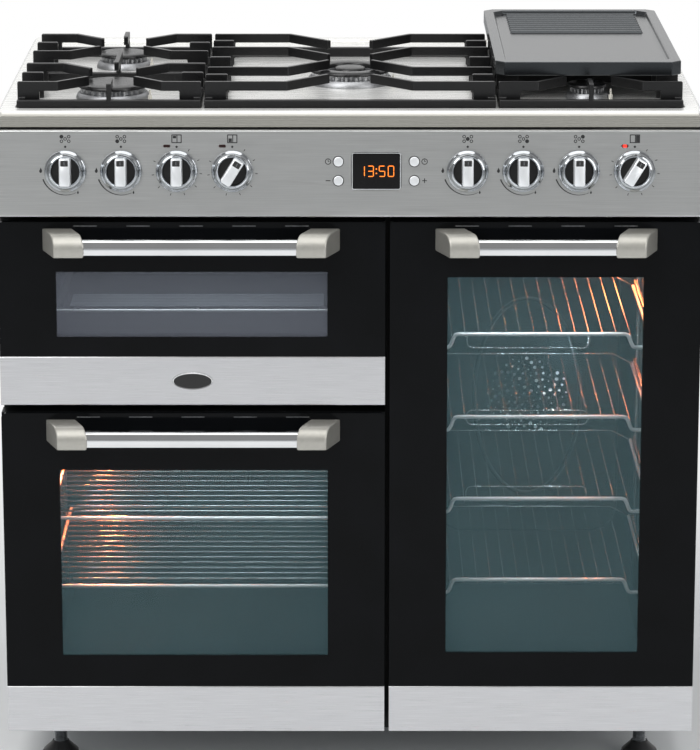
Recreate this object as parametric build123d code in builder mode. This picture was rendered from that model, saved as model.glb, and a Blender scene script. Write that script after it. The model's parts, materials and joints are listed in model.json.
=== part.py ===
from build123d import *
from math import atan2, cos, degrees, radians, sin, tan
import os

# A free-standing range cooker, 90 cm wide: five gas burners, a grill, a main oven and a tall oven.
# Millimetres. X runs to the right, Y to the back and Z up. The origin is on the floor, under the
# middle of the cooker with its handles.

# Round pieces that repeat are drawn many-sided, which keeps the whole cooker light
fine_sides = 18  # pieces in plain sight
coarse_sides = 12  # pieces and holes behind the panels
stem_sides = 8

# Overall sizes
body_width = 900.0
body_depth = 600.0  # from the face of the door glass to the back
handle_reach = 48.0  # how far the handles stand in front of the glass
sheet = 2.0  # steel sheet of the casing
flange = 14.0  # folded edge of the side panels
frame_sheet = 3.0  # steel of the front frame

# Heights of the front, stacked from the floor up
toe_gap = 72.0  # floor to the underside of the doors
base_drop = 10.0  # the base lies this far below the doors
main_door_height = 434.0
door_gap = 10.5  # between the two doors on the left
grill_door_height = 241.5
fascia_gap = 8.0
fascia_height = 111.0
apron_seam = 2.5
apron_height = 20.5

# Doors
left_door_width = 495.0
door_split = 6.0  # gap between the left doors and the tall door
glass_thick = 5.0
door_box_depth = 28.0  # pressed steel body of a door
inner_glass_thick = 5.0
seal_gap = 5.0  # door to front frame
seal_play = 0.3
seal_width = 8.0
seal_inset = 4.0  # seal away from the mouth of the oven
door_wall = 3.0
inner_glass_edge = 20.0  # inner glass away from the edge of the door
grill_trim_height = 65.0
trim_height = 63.0
trim_round = 2.0
glass_corner = 6.0
window_side = 74.0  # edge of the door to the clear window
grill_window_head = 65.0
grill_window_foot = 71.0
main_window_head = 76.0
tall_window_head = 72.0
window_foot = 81.0
window_reveal = 6.0  # the steel body opens this much wider than the window
vent_length = 36.0
vent_width = 8.0
vent_pitch = 67.5

# Door hinges: pins on arms of the front frame, in bores of the door
hinge_inset = 10.0  # pin to the edge of the door
hinge_back = 12.0  # pin to the outer face
hinge_wall = 14.0  # door metal outside the arm, which holds the pin
hinge_play = 1.0
pin_radius = 3.0
pin_play = 0.05
pin_length = 11.0
pin_end_play = 0.5
arm_height = 8.0
arm_thick = 6.0

# Door handles
handle_drop = 8.0  # top of the door to the top of the handle
cap_height = 29.0
cap_width = 38.0
cap_lean = 18.0  # the end caps lean in towards the bar
cap_round = 17.0
left_handle_span = 380.0
tall_handle_span = 284.0
bar_height = 20.0
bar_depth = 13.0
bar_edge = 4.0
bar_set_back = 5.0  # front of the bar behind the front of the caps
bar_rise = 2.0  # underside of the bar above the underside of the caps

# Oven linings
cavity_side = 44.0  # edge of the door to the inside of the lining
cavity_floor = 48.0
cavity_roof = 32.0
cavity_depth = 440.0
cavity_corner = 10.0

# Wire racks, shelves and the grill pan
wire = 5.0
fine_wire = 3.6
rack_front = 70.0
rack_length = 300.0
rack_foot = 20.0  # uprights of a rack below its lowest runner and above its highest
shelf_side_play = 1.0
shelf_front = 40.0
main_shelf_depth = 375.0
tall_shelf_back_gap = 6.0  # tall oven shelves to the fan cover
shelf_upstand = 26.0
main_shelf_heights = (122.0, 216.0)  # above the floor of the oven
tall_shelf_first = 131.0
tall_shelf_pitch = 112.0
tall_shelf_count = 4
main_shelf_wires = 9
tall_shelf_wires = 6
pan_rim_height = 56.0  # above the floor of the grill
pan_depth_down = 30.0
pan_front = 34.0
pan_length = 360.0
pan_wall = 1.6
pan_rim = 9.0
runner_width = 16.0
runner_thick = 3.0
pan_side_play = 2.0
pan_corner = 4.0

# Elements, fan and lamps
element_wire = 7.0
grill_element_drop = 20.0
grill_element_passes = 4
grill_element_pitch = 84.0
grill_element_front = 60.0
grill_element_length = 280.0
grill_element_bend = 14.0
fan_height = 290.0  # fan shaft above the floor of the tall oven
fan_radius = 62.0
fan_blades = 6
fan_blade_width = 22.0
fan_blade_thick = 1.5
fan_hub_radius = 10.0
fan_shaft_radius = 4.0
fan_fit = 0.05
fan_wall_gap = 6.0  # back wall of the oven to the fan
fan_element_radius = 82.0
fan_cover_gap = 36.0  # back wall of the oven to the fan cover
fan_cover_width = 260.0
fan_cover_height = 400.0
fan_cover_corner = 40.0
fan_vent_pitch = 22.0
fan_vent_size = 14.0
fan_vent_rings = 2
motor_radius = 36.0
motor_length = 58.0
lamp_radius = 20.0
lamp_reach = 14.0
lamp_depth = 120.0  # mouth of the oven to the middle of the lamp
lamp_drop = 70.0  # roof of the oven to the middle of the lamp
lamp_socket = 24.0

# Control fascia
fascia_lead = 8.0  # lower edge in front of the door glass
fascia_set = 2.0  # upper edge behind the door glass
fascia_round = 1.5
knob_height_up = 59.0  # lower edge of the fascia to the knob row
knob_side = 89.0  # side of the cooker to the outer knobs
knob_inner_x = 149.2  # middle of the cooker to the inner knobs
knobs_each_side = 4
clock_x = 33.4
clock_width = 62.0
clock_height = 47.0
clock_corner = 3.0
clock_play = 0.3
clock_proud = 1.0
clock_depth = 30.0
clock_board_width = 128.0
clock_board_height = 56.0
clock_board_set = 8.0  # fascia face to the front of the clock board
button_x = 48.2  # middle of the clock to the buttons
button_rise = 12.2
button_radius = 6.2
button_play = 0.4
button_proud = 3.0
button_stem_radius = 2.5
button_stem_length = 9.0
button_skirt = 5.0  # fascia face to the back of a button cap
lamp_window_width = 8.0
lamp_window_height = 3.2
lamp_window_dx = -12.6
lamp_window_up = 32.0
lamp_window_proud = 0.8
lamp_window_depth = 16.0

# Knobs, taps and thermostats
knob_radius = 26.5
knob_gap = 0.5  # fascia to the skirt
knob_skirt = 4.0
knob_lip_radius = 19.5
knob_lip_height = 10.0
knob_well_radius = 18.0
knob_well_floor = 5.0
knob_grip_width = 16.4
knob_grip_height = 22.0
knob_grip_edge = 1.5
knob_stem_radius = 7.0
knob_stem_length = 12.0
knob_hole_play = 1.0
spindle_radius = 4.0
spindle_fit = 0.05
spindle_reach = 13.0
knob_turned = 32.0  # oven knobs that are on, turned clockwise from upright
tap_width = 24.0
tap_length = 40.0
rail_radius = 8.0
inlet_radius = 10.48  # half-inch gas thread
inlet_length = 26.0
inlet_side = 22.0  # side of the cooker to the gas inlet
inlet_rise = 60.0  # lower edge of the fascia to the gas inlet pipe
inlet_window = 70.0
inlet_set_in = 4.0
thermostat_size = 44.0
thermostat_length = 30.0

# Hob
hob_set_back = 6.0  # front of the hob behind the door glass
hob_corner = 6.0
hob_round = 6.0
hob_border = 24.0
hob_recess = 4.0
pan_height = 34.0  # recess of the hob to the top of the pan supports
support_front = 36.0  # door glass to the pan supports
support_depth = 420.0
support_split = 4.0
centre_support_width = 372.0
support_side = 25.0  # side of the cooker to the pan supports
support_bar = 9.0
support_bar_height = 13.0
fin_thick = 6.0
fin_bar = 12.0
fin_leg = 28.0
side_burner_spacing = 240.0
side_fin_offset = 70.0
side_fin_bend = 68.0  # burner to the bend of a fin, across
side_fin_tip = 30.0
side_prong = 44.0
centre_fin_offsets = (190.0, 80.0)
centre_fin_bend = 82.0
centre_fin_tip = 28.0
centre_fin_sweep = 57.0
centre_stub_offsets = (-135.0, 0.0, 135.0)
griddle_overlap = 5.0  # the griddle is this much wider than its pan support
griddle_depth = 445.0
griddle_thick = 18.0
griddle_corner = 12.0
griddle_rim = 15.0
griddle_well = 5.0
griddle_front = 97.0  # door glass to the front of the griddle
griddle_ribs = 9
griddle_rib_pitch = 18.0
griddle_rib_width = 7.0
griddle_rib_height = 3.0

# Burners
rapid_radius = 45.0
middle_radius = 34.0
small_radius = 25.0
wok_radius = 54.0
wok_ring = 17.0
wok_cap_radius = 20.5
burner_skirt = 9.0
burner_crown = 6.0
burner_cap = 5.5
burner_overhang = 3.0
burner_spigot_radius = 15.0
burner_spigot = 18.0
burner_hole_play = 0.3
port_count = 9
port_width = 3.0
port_depth = 4.0
spark_radius = 2.6
spark_height = 14.0
spark_gap = 7.0
spark_angle = -20.0

# Back, base and feet
foot_inset = 60.0
foot_pad_radius = 24.0
foot_pad_height = 10.0
foot_cone_height = 12.0
foot_stem_radius = 9.0
terminal_width = 110.0
terminal_height = 80.0
terminal_depth = 40.0
terminal_side = 120.0  # side of the cooker to the middle of the terminal box
terminal_rise = 120.0
terminal_window = 10.0
gland_radius = 12.0
gland_bore = 6.5
louvre_length = 60.0
louvre_height = 7.0
louvre_pitch_x = 110.0
louvre_pitch_z = 24.0
louvre_columns = 6
louvre_rows = 2
cap_plate_width = 24.0  # small fixing caps at the back corners of the hob
cap_plate_depth = 14.0
cap_plate_height = 5.0
cap_plate_side = 32.0


class Span:
    """A rectangle of the cooker's front, seen along Y."""

    def __init__(self, left, right, bottom, top):
        self.left = left
        self.right = right
        self.bottom = bottom
        self.top = top
        self.width = right - left
        self.height = top - bottom
        self.middle = ((left + right) / 2, (bottom + top) / 2)

    def inset(self, side, foot, head):
        """The same rectangle drawn in at its sides, foot and head."""
        return Span(self.left + side, self.right - side, self.bottom + foot, self.top - head)


# Levels and depths that follow from the sizes
half_width = body_width / 2
face_y = handle_reach - (body_depth + handle_reach) / 2
rear_y = face_y + body_depth
box_front_y = face_y + glass_thick
box_back_y = box_front_y + door_box_depth
door_back_y = box_back_y + inner_glass_thick
frame_y = door_back_y + seal_gap
frame_back_y = frame_y + frame_sheet
base_z = toe_gap - base_drop
panel_z = base_z + sheet
grill_door_z = toe_gap + main_door_height + door_gap
door_top_z = grill_door_z + grill_door_height
fascia_z = door_top_z + fascia_gap
fascia_top_z = fascia_z + fascia_height
apron_z = fascia_top_z + apron_seam
hob_z = apron_z + apron_height
plate_z = hob_z - hob_recess
pan_z = plate_z + pan_height
rear_panel_y = rear_y - 2 * sheet
cavity_back_y = frame_back_y + cavity_depth
hinge_y = face_y + hinge_back
inlet_x = half_width - inlet_side
inlet_z = fascia_z + inlet_rise
terminal_x = half_width - terminal_side
terminal_z = base_z + terminal_rise
cap_plate_x = half_width - cap_plate_side

left_edge = -half_width + left_door_width
grill_door = Span(-half_width, left_edge, grill_door_z, door_top_z)
main_door = Span(-half_width, left_edge, toe_gap, toe_gap + main_door_height)
tall_door = Span(left_edge + door_split, half_width, toe_gap, door_top_z)
grill_space = grill_door.inset(cavity_side, cavity_floor, cavity_roof)
main_space = main_door.inset(cavity_side, cavity_floor, cavity_roof)
tall_space = tall_door.inset(cavity_side, cavity_floor, cavity_roof)
spaces = (grill_space, main_space, tall_space)

# The fascia leans back; knobs, buttons and lamps stand square on it
fascia_lean = fascia_lead + fascia_set
fascia_angle = atan2(fascia_lean, fascia_height)
fascia_low_y = face_y - fascia_lead
fascia_high_y = face_y + fascia_set
fascia_normal = Vector(0, -cos(fascia_angle), sin(fascia_angle))

knob_outer_x = half_width - knob_side
knob_pitch = (knob_outer_x - knob_inner_x) / (knobs_each_side - 1)
knob_offsets = [knob_outer_x - knob_pitch * step for step in range(knobs_each_side)]
knob_places = [-x for x in knob_offsets] + list(reversed(knob_offsets))
gas_knobs = (0, 1, 4, 5, 6)
oven_knobs = (2, 3, 7)
turned_knobs = (3, 7)
knob_names = (
    "rear_left_knob",
    "front_left_knob",
    "grill_knob",
    "main_oven_knob",
    "centre_knob",
    "front_right_knob",
    "rear_right_knob",
    "tall_oven_knob",
)

support_y = face_y + support_front + support_depth / 2  # middle line of the pan supports
side_support_width = half_width - support_side - centre_support_width / 2 - support_split
griddle_width = side_support_width + griddle_overlap
side_support_x = centre_support_width / 2 + support_split + side_support_width / 2
near_burner_y = support_y - side_burner_spacing / 2
far_burner_y = support_y + side_burner_spacing / 2
side_burners = (
    (-side_support_x, near_burner_y, rapid_radius),
    (-side_support_x, far_burner_y, middle_radius),
    (side_support_x, near_burner_y, small_radius),
    (side_support_x, far_burner_y, middle_radius),
)
crown_z = plate_z + burner_skirt + burner_crown
wok_well_radius = wok_radius - burner_overhang - wok_ring


def front_plane(y):
    """A sketch plane across the front at depth y: X and Z lie in it, and it faces the front."""
    return Plane.XZ.offset(-y)


def side_plane(x):
    """A sketch plane along the side at x: Y and Z lie in it, and it faces right."""
    return Plane.YZ.offset(x)


def fascia_plane(x, up):
    """A plane on the face of the fascia, at x and at a distance up the slope from its lower edge."""
    y = fascia_low_y + up * sin(fascia_angle)
    z = fascia_z + up * cos(fascia_angle)
    return Plane(origin=(x, y, z), x_dir=(1, 0, 0), z_dir=fascia_normal)


def cut_rectangle(width, height, cut, mode=Mode.ADD):
    """A rectangle with its corners cut off, for pressed pieces with tight corners."""
    x = width / 2
    y = height / 2
    corners = (
        (x - cut, -y),
        (x, cut - y),
        (x, y - cut),
        (x - cut, y),
        (cut - x, y),
        (-x, y - cut),
        (-x, cut - y),
        (cut - x, -y),
    )
    return Polygon(*corners, mode=mode)


def save(piece, label):
    """Name a finished piece and write it as a file of its own."""
    piece.part.label = label
    export_step(piece.part, f"parts/{label}.step")


os.makedirs("parts", exist_ok=True)

# Casing: two side panels, each a sheet with folded edges, the right one cut free at the gas inlet
with BuildPart() as side_panels:
    with BuildSketch(Plane.XY.offset(panel_z)):
        for side in (-1, 1):
            with Locations((side * (half_width - sheet / 2), (frame_back_y + rear_y) / 2)):
                Rectangle(sheet, rear_y - frame_back_y)
            flange_x = side * (half_width - flange / 2)
            with Locations((flange_x, frame_back_y + sheet / 2), (flange_x, rear_y - sheet / 2)):
                Rectangle(flange, sheet)
    extrude(amount=apron_z - panel_z)
    with Locations((half_width - (flange + sheet) / 2, rear_y - sheet / 2, inlet_z)):
        Box(flange - sheet, sheet, inlet_window, mode=Mode.SUBTRACT)
save(side_panels, "side_panels")

# Casing: the base, with cooling slots
with BuildPart() as base_pan:
    with BuildSketch(Plane.XY.offset(base_z)):
        with Locations((0, (frame_back_y + rear_y) / 2)):
            Rectangle(body_width, rear_y - frame_back_y)
            with GridLocations(louvre_pitch_x, 2 * louvre_pitch_x, louvre_columns, 2):
                Rectangle(louvre_length, louvre_height, mode=Mode.SUBTRACT)
    extrude(amount=sheet)
save(base_pan, "base_pan")

# Adjustable feet: a pad, a cone and a stem
foot_cone = degrees(atan2(foot_pad_radius - foot_stem_radius, foot_cone_height))
with BuildPart() as foot:
    with BuildSketch():
        RegularPolygon(foot_pad_radius, coarse_sides)
    extrude(amount=foot_pad_height)
    with BuildSketch(Plane.XY.offset(foot_pad_height)):
        RegularPolygon(foot_pad_radius, coarse_sides)
    extrude(amount=foot_cone_height, taper=foot_cone)
    with BuildSketch(Plane.XY.offset(foot_pad_height)):
        RegularPolygon(foot_stem_radius, coarse_sides)
    extrude(amount=base_z - foot_pad_height)

with BuildPart() as feet:
    foot_span_y = rear_y - frame_back_y - 2 * foot_inset
    with Locations((0, (frame_back_y + rear_y) / 2)):
        with GridLocations(body_width - 2 * foot_inset, foot_span_y, 2, 2):
            add(foot.part)
save(feet, "feet")

# Casing: the back, with louvres and windows for the gas pipe and the mains
with BuildPart() as rear_panel:
    with BuildSketch(front_plane(rear_y - sheet)):
        with Locations((0, (panel_z + apron_z) / 2)):
            Rectangle(body_width - 2 * sheet, apron_z - panel_z)
            with GridLocations(louvre_pitch_x, louvre_pitch_z, louvre_columns, louvre_rows):
                Rectangle(louvre_length, louvre_height, mode=Mode.SUBTRACT)
        with Locations((half_width - sheet - inlet_window / 2, inlet_z)):
            Rectangle(inlet_window, inlet_window, mode=Mode.SUBTRACT)
        with Locations((terminal_x, terminal_z)):
            Rectangle(
                terminal_width - 2 * terminal_window,
                terminal_height - 2 * terminal_window,
                mode=Mode.SUBTRACT,
            )
    extrude(amount=sheet)
save(rear_panel, "rear_panel")

# Mains terminal box behind its window, with a gland for the cable
with BuildPart() as terminal_box:
    with BuildSketch(front_plane(rear_panel_y)):
        with Locations((terminal_x, terminal_z)):
            Rectangle(terminal_width, terminal_height)
    extrude(amount=terminal_depth)
    with BuildSketch(front_plane(rear_panel_y)):
        with Locations((terminal_x, terminal_z)):
            RegularPolygon(gland_radius, coarse_sides)
    extrude(amount=-2 * sheet)
    with BuildSketch(front_plane(rear_y)):
        with Locations((terminal_x, terminal_z)):
            RegularPolygon(gland_bore, coarse_sides)
    extrude(amount=terminal_depth / 2, mode=Mode.SUBTRACT)
save(terminal_box, "terminal_box")

# Front frame: a plate round the three oven mouths, with the hinge arms and their pins
arm_turn = 180 / stem_sides  # puts flats, not corners, along the sides of an arm
with BuildPart() as front_frame:
    with BuildSketch(front_plane(frame_back_y)):
        with Locations((0, (base_z + fascia_z) / 2)):
            Rectangle(body_width, fascia_z - base_z)
        for space in spaces:
            with Locations(space.middle):
                cut_rectangle(space.width, space.height, cavity_corner, mode=Mode.SUBTRACT)
    extrude(amount=frame_sheet)
    for door in (grill_door, main_door):
        pin_z = door.bottom + hinge_inset
        for edge, inward in ((door.left, 1), (door.right, -1)):
            arm_x = edge + inward * (hinge_wall + hinge_play)
            with BuildSketch(side_plane(arm_x)):
                with Locations((hinge_y, pin_z)):
                    RegularPolygon(arm_height / 2, stem_sides, major_radius=False, rotation=arm_turn)
                with Locations(((hinge_y + frame_y) / 2, pin_z)):
                    Rectangle(frame_y - hinge_y, arm_height)
            extrude(amount=inward * arm_thick)
            with BuildSketch(side_plane(arm_x)):
                with Locations((hinge_y, pin_z)):
                    RegularPolygon(pin_radius, coarse_sides)
            extrude(amount=-inward * pin_length)
    pin_x = tall_door.right - hinge_inset
    for edge, inward in ((tall_door.bottom, 1), (tall_door.top, -1)):
        arm_z = edge + inward * (hinge_wall + hinge_play)
        with BuildSketch(Plane.XY.offset(arm_z)):
            with Locations((pin_x, hinge_y)):
                RegularPolygon(arm_height / 2, stem_sides, major_radius=False, rotation=arm_turn)
            with Locations((pin_x, (hinge_y + frame_y) / 2)):
                Rectangle(arm_height, frame_y - hinge_y)
        extrude(amount=inward * arm_thick)
        with BuildSketch(Plane.XY.offset(arm_z)):
            with Locations((pin_x, hinge_y)):
                RegularPolygon(pin_radius, coarse_sides)
        extrude(amount=-inward * pin_length)
save(front_frame, "front_frame")

# Door seals: one flat rope round each oven mouth
with BuildPart() as door_seals:
    with BuildSketch(front_plane(frame_y)):
        for space in spaces:
            outer = space.inset(-seal_inset - seal_width, -seal_inset - seal_width, -seal_inset - seal_width)
            inner = space.inset(-seal_inset, -seal_inset, -seal_inset)
            with Locations(space.middle):
                cut_rectangle(outer.width, outer.height, cavity_corner + seal_width / 2)
                cut_rectangle(inner.width, inner.height, cavity_corner, mode=Mode.SUBTRACT)
    extrude(amount=seal_gap - seal_play)
save(door_seals, "door_seals")


def oven_lining(space):
    """A pressed lining: a box with cut corners, open at the front."""
    with BuildPart() as lining:
        with BuildSketch(front_plane(cavity_back_y + sheet)):
            with Locations(space.middle):
                cut_rectangle(space.width + 2 * sheet, space.height + 2 * sheet, cavity_corner + sheet / 2)
        extrude(amount=cavity_depth + sheet)
        with BuildSketch(front_plane(cavity_back_y)):
            with Locations(space.middle):
                cut_rectangle(space.width, space.height, cavity_corner)
        extrude(amount=cavity_depth, mode=Mode.SUBTRACT)
    return lining


fan_x = tall_space.middle[0]
fan_z = tall_space.bottom + fan_height
lamp_y = frame_back_y + lamp_depth
main_lamp_z = main_space.top - lamp_drop
tall_lamp_z = tall_space.top - lamp_drop
pan_rim_z = grill_space.bottom + pan_rim_height

# Grill lining, with a runner on each wall that carries the grill pan
grill_lining = oven_lining(grill_space)
with BuildPart() as grill_cavity:
    add(grill_lining.part)
    runner_y = frame_back_y + pan_front + pan_length / 2
    for wall_x, inward in ((grill_space.left, 1), (grill_space.right, -1)):
        with Locations((wall_x + inward * runner_width / 2, runner_y, pan_rim_z - runner_thick / 2)):
            Box(runner_width, pan_length, runner_thick)
save(grill_cavity, "grill_cavity")

# Main oven lining, with a hole for the lamp in its left wall
main_lining = oven_lining(main_space)
with BuildPart() as main_oven_cavity:
    add(main_lining.part)
    with BuildSketch(side_plane(main_space.left - sheet)):
        with Locations((lamp_y, main_lamp_z)):
            RegularPolygon(lamp_socket / 2, stem_sides)
    extrude(amount=sheet, mode=Mode.SUBTRACT)
save(main_oven_cavity, "main_oven_cavity")

# Tall oven lining, with a hole for the lamp in its right wall and for the fan shaft in its back
tall_lining = oven_lining(tall_space)
with BuildPart() as tall_oven_cavity:
    add(tall_lining.part)
    with BuildSketch(side_plane(tall_space.right)):
        with Locations((lamp_y, tall_lamp_z)):
            RegularPolygon(lamp_socket / 2, stem_sides)
    extrude(amount=sheet, mode=Mode.SUBTRACT)
    with BuildSketch(front_plane(cavity_back_y + sheet)):
        with Locations((fan_x, fan_z)):
            RegularPolygon(fan_hub_radius, coarse_sides)
    extrude(amount=sheet, mode=Mode.SUBTRACT)
save(tall_oven_cavity, "tall_oven_cavity")

# Oven lamps: a glass cover inside the wall and a socket behind it
with BuildPart() as oven_lamps:
    lamp_sites = ((main_space.left, main_lamp_z, 1), (tall_space.right, tall_lamp_z, -1))
    for wall_x, lamp_z, inward in lamp_sites:
        with BuildSketch(side_plane(wall_x)):
            with Locations((lamp_y, lamp_z)):
                RegularPolygon(lamp_radius, stem_sides)
        extrude(amount=inward * lamp_reach, taper=15)
        with BuildSketch(side_plane(wall_x)):
            with Locations((lamp_y, lamp_z)):
                RegularPolygon(lamp_socket / 2 - burner_hole_play, stem_sides)
        extrude(amount=-inward * lamp_socket)
save(oven_lamps, "oven_lamps")

# Hob: a pressed tray with a rolled edge, a sunk plate and holes for the burners
hob_front_y = face_y + hob_set_back
hob_depth = rear_y - hob_front_y
hob_y = (hob_front_y + rear_y) / 2
with BuildPart() as hob_tray:
    with BuildSketch(Plane.XY.offset(apron_z)):
        with Locations((0, hob_y)):
            cut_rectangle(body_width, hob_depth, hob_corner)
    extrude(amount=apron_height)
    chamfer(hob_tray.faces().sort_by(Axis.Z)[-1].edges(), hob_round)
    with BuildSketch(Plane.XY.offset(hob_z)):
        with Locations((0, hob_y)):
            cut_rectangle(body_width - 2 * hob_border, hob_depth - 2 * hob_border, hob_corner)
    extrude(amount=-hob_recess, taper=-20, mode=Mode.SUBTRACT)
    with BuildSketch(Plane.XY.offset(apron_z)):
        with Locations((0, hob_y)):
            cut_rectangle(body_width - 2 * sheet, hob_depth - 2 * sheet, hob_corner)
    extrude(amount=apron_height - hob_recess - sheet, mode=Mode.SUBTRACT)
    with BuildSketch(Plane.XY.offset(plate_z)):
        with Locations((0, support_y), *[(x, y) for x, y, radius in side_burners]):
            RegularPolygon(burner_spigot_radius + burner_hole_play, stem_sides)
    extrude(amount=-sheet, mode=Mode.SUBTRACT)
    with Locations(
        (-cap_plate_x, rear_y - hob_round - cap_plate_depth / 2, hob_z + cap_plate_height / 2),
        (cap_plate_x, rear_y - hob_round - cap_plate_depth / 2, hob_z + cap_plate_height / 2),
    ):
        Box(cap_plate_width, cap_plate_depth, cap_plate_height)
save(hob_tray, "hob_tray")

# Burner heads: a skirt, a crown with gas ports and a spigot through the hob
all_burners = side_burners + ((0, support_y, wok_radius),)
with BuildPart() as burner_heads:
    for x, y, radius in all_burners:
        with BuildSketch(Plane.XY.offset(plate_z)):
            with Locations((x, y)):
                RegularPolygon(radius + burner_overhang, fine_sides)
        extrude(amount=burner_skirt, taper=degrees(atan2(burner_overhang, burner_skirt)))
        with BuildSketch(Plane.XY.offset(plate_z + burner_skirt)):
            with Locations((x, y)):
                RegularPolygon(radius - burner_overhang, fine_sides)
                with PolarLocations(radius - burner_overhang, port_count):
                    Rectangle(2 * port_depth, port_width, mode=Mode.SUBTRACT)
            if radius == wok_radius:
                with Locations((x, y)):
                    RegularPolygon(wok_well_radius, fine_sides, mode=Mode.SUBTRACT)
                    RegularPolygon(wok_cap_radius - burner_overhang, fine_sides)
        extrude(amount=burner_crown)
        with BuildSketch(Plane.XY.offset(plate_z)):
            with Locations((x, y)):
                RegularPolygon(burner_spigot_radius, stem_sides)
        extrude(amount=-burner_spigot)
save(burner_heads, "burner_heads")

# Burner caps: loose lids on the crowns, a ring and a small lid on the wok burner
with BuildPart() as burner_caps:
    with BuildSketch(Plane.XY.offset(crown_z)):
        for x, y, radius in all_burners:
            with Locations((x, y)):
                RegularPolygon(radius, fine_sides)
        with Locations((0, support_y)):
            RegularPolygon(wok_well_radius, fine_sides, mode=Mode.SUBTRACT)
            RegularPolygon(wok_cap_radius, fine_sides)
    extrude(amount=burner_cap)
    chamfer(burner_caps.faces().filter_by(Plane.XY).group_by(Axis.Z)[-1].edges(), burner_cap / 3)
save(burner_caps, "burner_caps")

# Spark electrodes beside the burners
with BuildPart() as spark_electrodes:
    for x, y, radius in all_burners:
        reach = radius + spark_gap
        spark_x = x + reach * cos(radians(spark_angle))
        spark_y = y + reach * sin(radians(spark_angle))
        with BuildSketch(Plane.XY.offset(plate_z)):
            with Locations((spark_x, spark_y)):
                RegularPolygon(spark_radius, 4)
        extrude(amount=spark_height / 2)
        with BuildSketch(Plane.XY.offset(plate_z + spark_height / 2)):
            with Locations((spark_x, spark_y)):
                RegularPolygon(spark_radius / 2, 4)
        extrude(amount=spark_height / 2)
save(spark_electrodes, "spark_electrodes")


def fin_outline(root, bend, tip):
    """Plan of one bent finger of a pan support: a strip that follows root, bend and tip."""
    half = fin_thick / 2
    run = (bend - root).normalized()
    turn = (tip - bend).normalized()
    run_side = Vector(-run.Y, run.X)
    turn_side = Vector(-turn.Y, turn.X)
    mitre = (run_side + turn_side) / (1 + run_side.dot(turn_side))
    return (
        root + run_side * half,
        bend + mitre * half,
        tip + turn_side * half,
        tip - turn_side * half,
        bend - mitre * half,
        root - run_side * half,
    )


def pan_support(middle_x, width, fins, legs, prongs, cross_bars):
    """A cast pan support: a low frame that carries raised fingers.

    fins are (root, bend, tip) in plan, legs are (x, y, towards), prongs are (root, front, back) along Y.
    """
    depth = support_depth
    with BuildPart() as support:
        with BuildSketch(Plane.XY.offset(plate_z)):
            with Locations((middle_x, support_y)):
                Rectangle(width, depth)
                Rectangle(width - 2 * support_bar, depth - 2 * support_bar, mode=Mode.SUBTRACT)
            for y in cross_bars:
                with Locations((middle_x, y)):
                    Rectangle(width - support_bar, support_bar)
        extrude(amount=support_bar_height)
        with BuildSketch(Plane.XY.offset(plate_z)):
            for x, y, towards in legs:
                with Locations((x + towards * fin_leg / 2, y)):
                    Rectangle(fin_leg, fin_thick)
            for root_y, front, back in prongs:
                with Locations((middle_x, root_y)):
                    Rectangle(fin_thick, support_bar)
        extrude(amount=pan_height)
        with BuildSketch(Plane.XY.offset(pan_z - fin_bar)):
            for root, bend, tip in fins:
                with BuildLine():
                    Polyline(*fin_outline(root, bend, tip), close=True)
                make_face()
            for root_y, front, back in prongs:
                with Locations((middle_x, (front + back) / 2)):
                    Rectangle(fin_thick, back - front)
        extrude(amount=fin_bar)
    return support


def side_support(middle_x):
    """A pan support over two burners, one behind the other."""
    fins = []
    legs = []
    for side in (-1, 1):
        rail_x = middle_x + side * (side_support_width / 2)
        for burner_y in (near_burner_y, far_burner_y):
            legs.append((rail_x, burner_y, -side))
            for way in (-1, 1):
                fin_y = burner_y + way * side_fin_offset
                legs.append((rail_x, fin_y, -side))
                root = Vector(rail_x, fin_y)
                bend = Vector(middle_x + side * side_fin_bend, fin_y)
                tip = Vector(middle_x + side * side_fin_tip, burner_y + way * side_fin_tip)
                fins.append((root, bend, tip))
    front = support_y - support_depth / 2
    back = support_y + support_depth / 2
    prongs = (
        (front + support_bar / 2, front, front + side_prong),
        (support_y, support_y - side_prong, support_y + side_prong),
        (back - support_bar / 2, back - side_prong, back),
    )
    return pan_support(middle_x, side_support_width, fins, legs, prongs, (support_y,))


def centre_support():
    """The wide pan support over the wok burner."""
    fins = []
    legs = []
    for side in (-1, 1):
        rail_x = side * centre_support_width / 2
        for offset_y in centre_stub_offsets:
            legs.append((rail_x, support_y + offset_y, -side))
        for offset_y in centre_fin_offsets:
            for way in (-1, 1):
                fin_y = support_y + way * offset_y
                legs.append((rail_x, fin_y, -side))
                root = Vector(rail_x, fin_y)
                bend = Vector(side * centre_fin_bend, fin_y)
                tip = Vector(side * centre_fin_tip, fin_y - way * centre_fin_sweep)
                fins.append((root, bend, tip))
    return pan_support(0, centre_support_width, fins, legs, (), ())


save(side_support(-side_support_x), "left_pan_support")
save(centre_support(), "centre_pan_support")
save(side_support(side_support_x), "right_pan_support")

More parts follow.
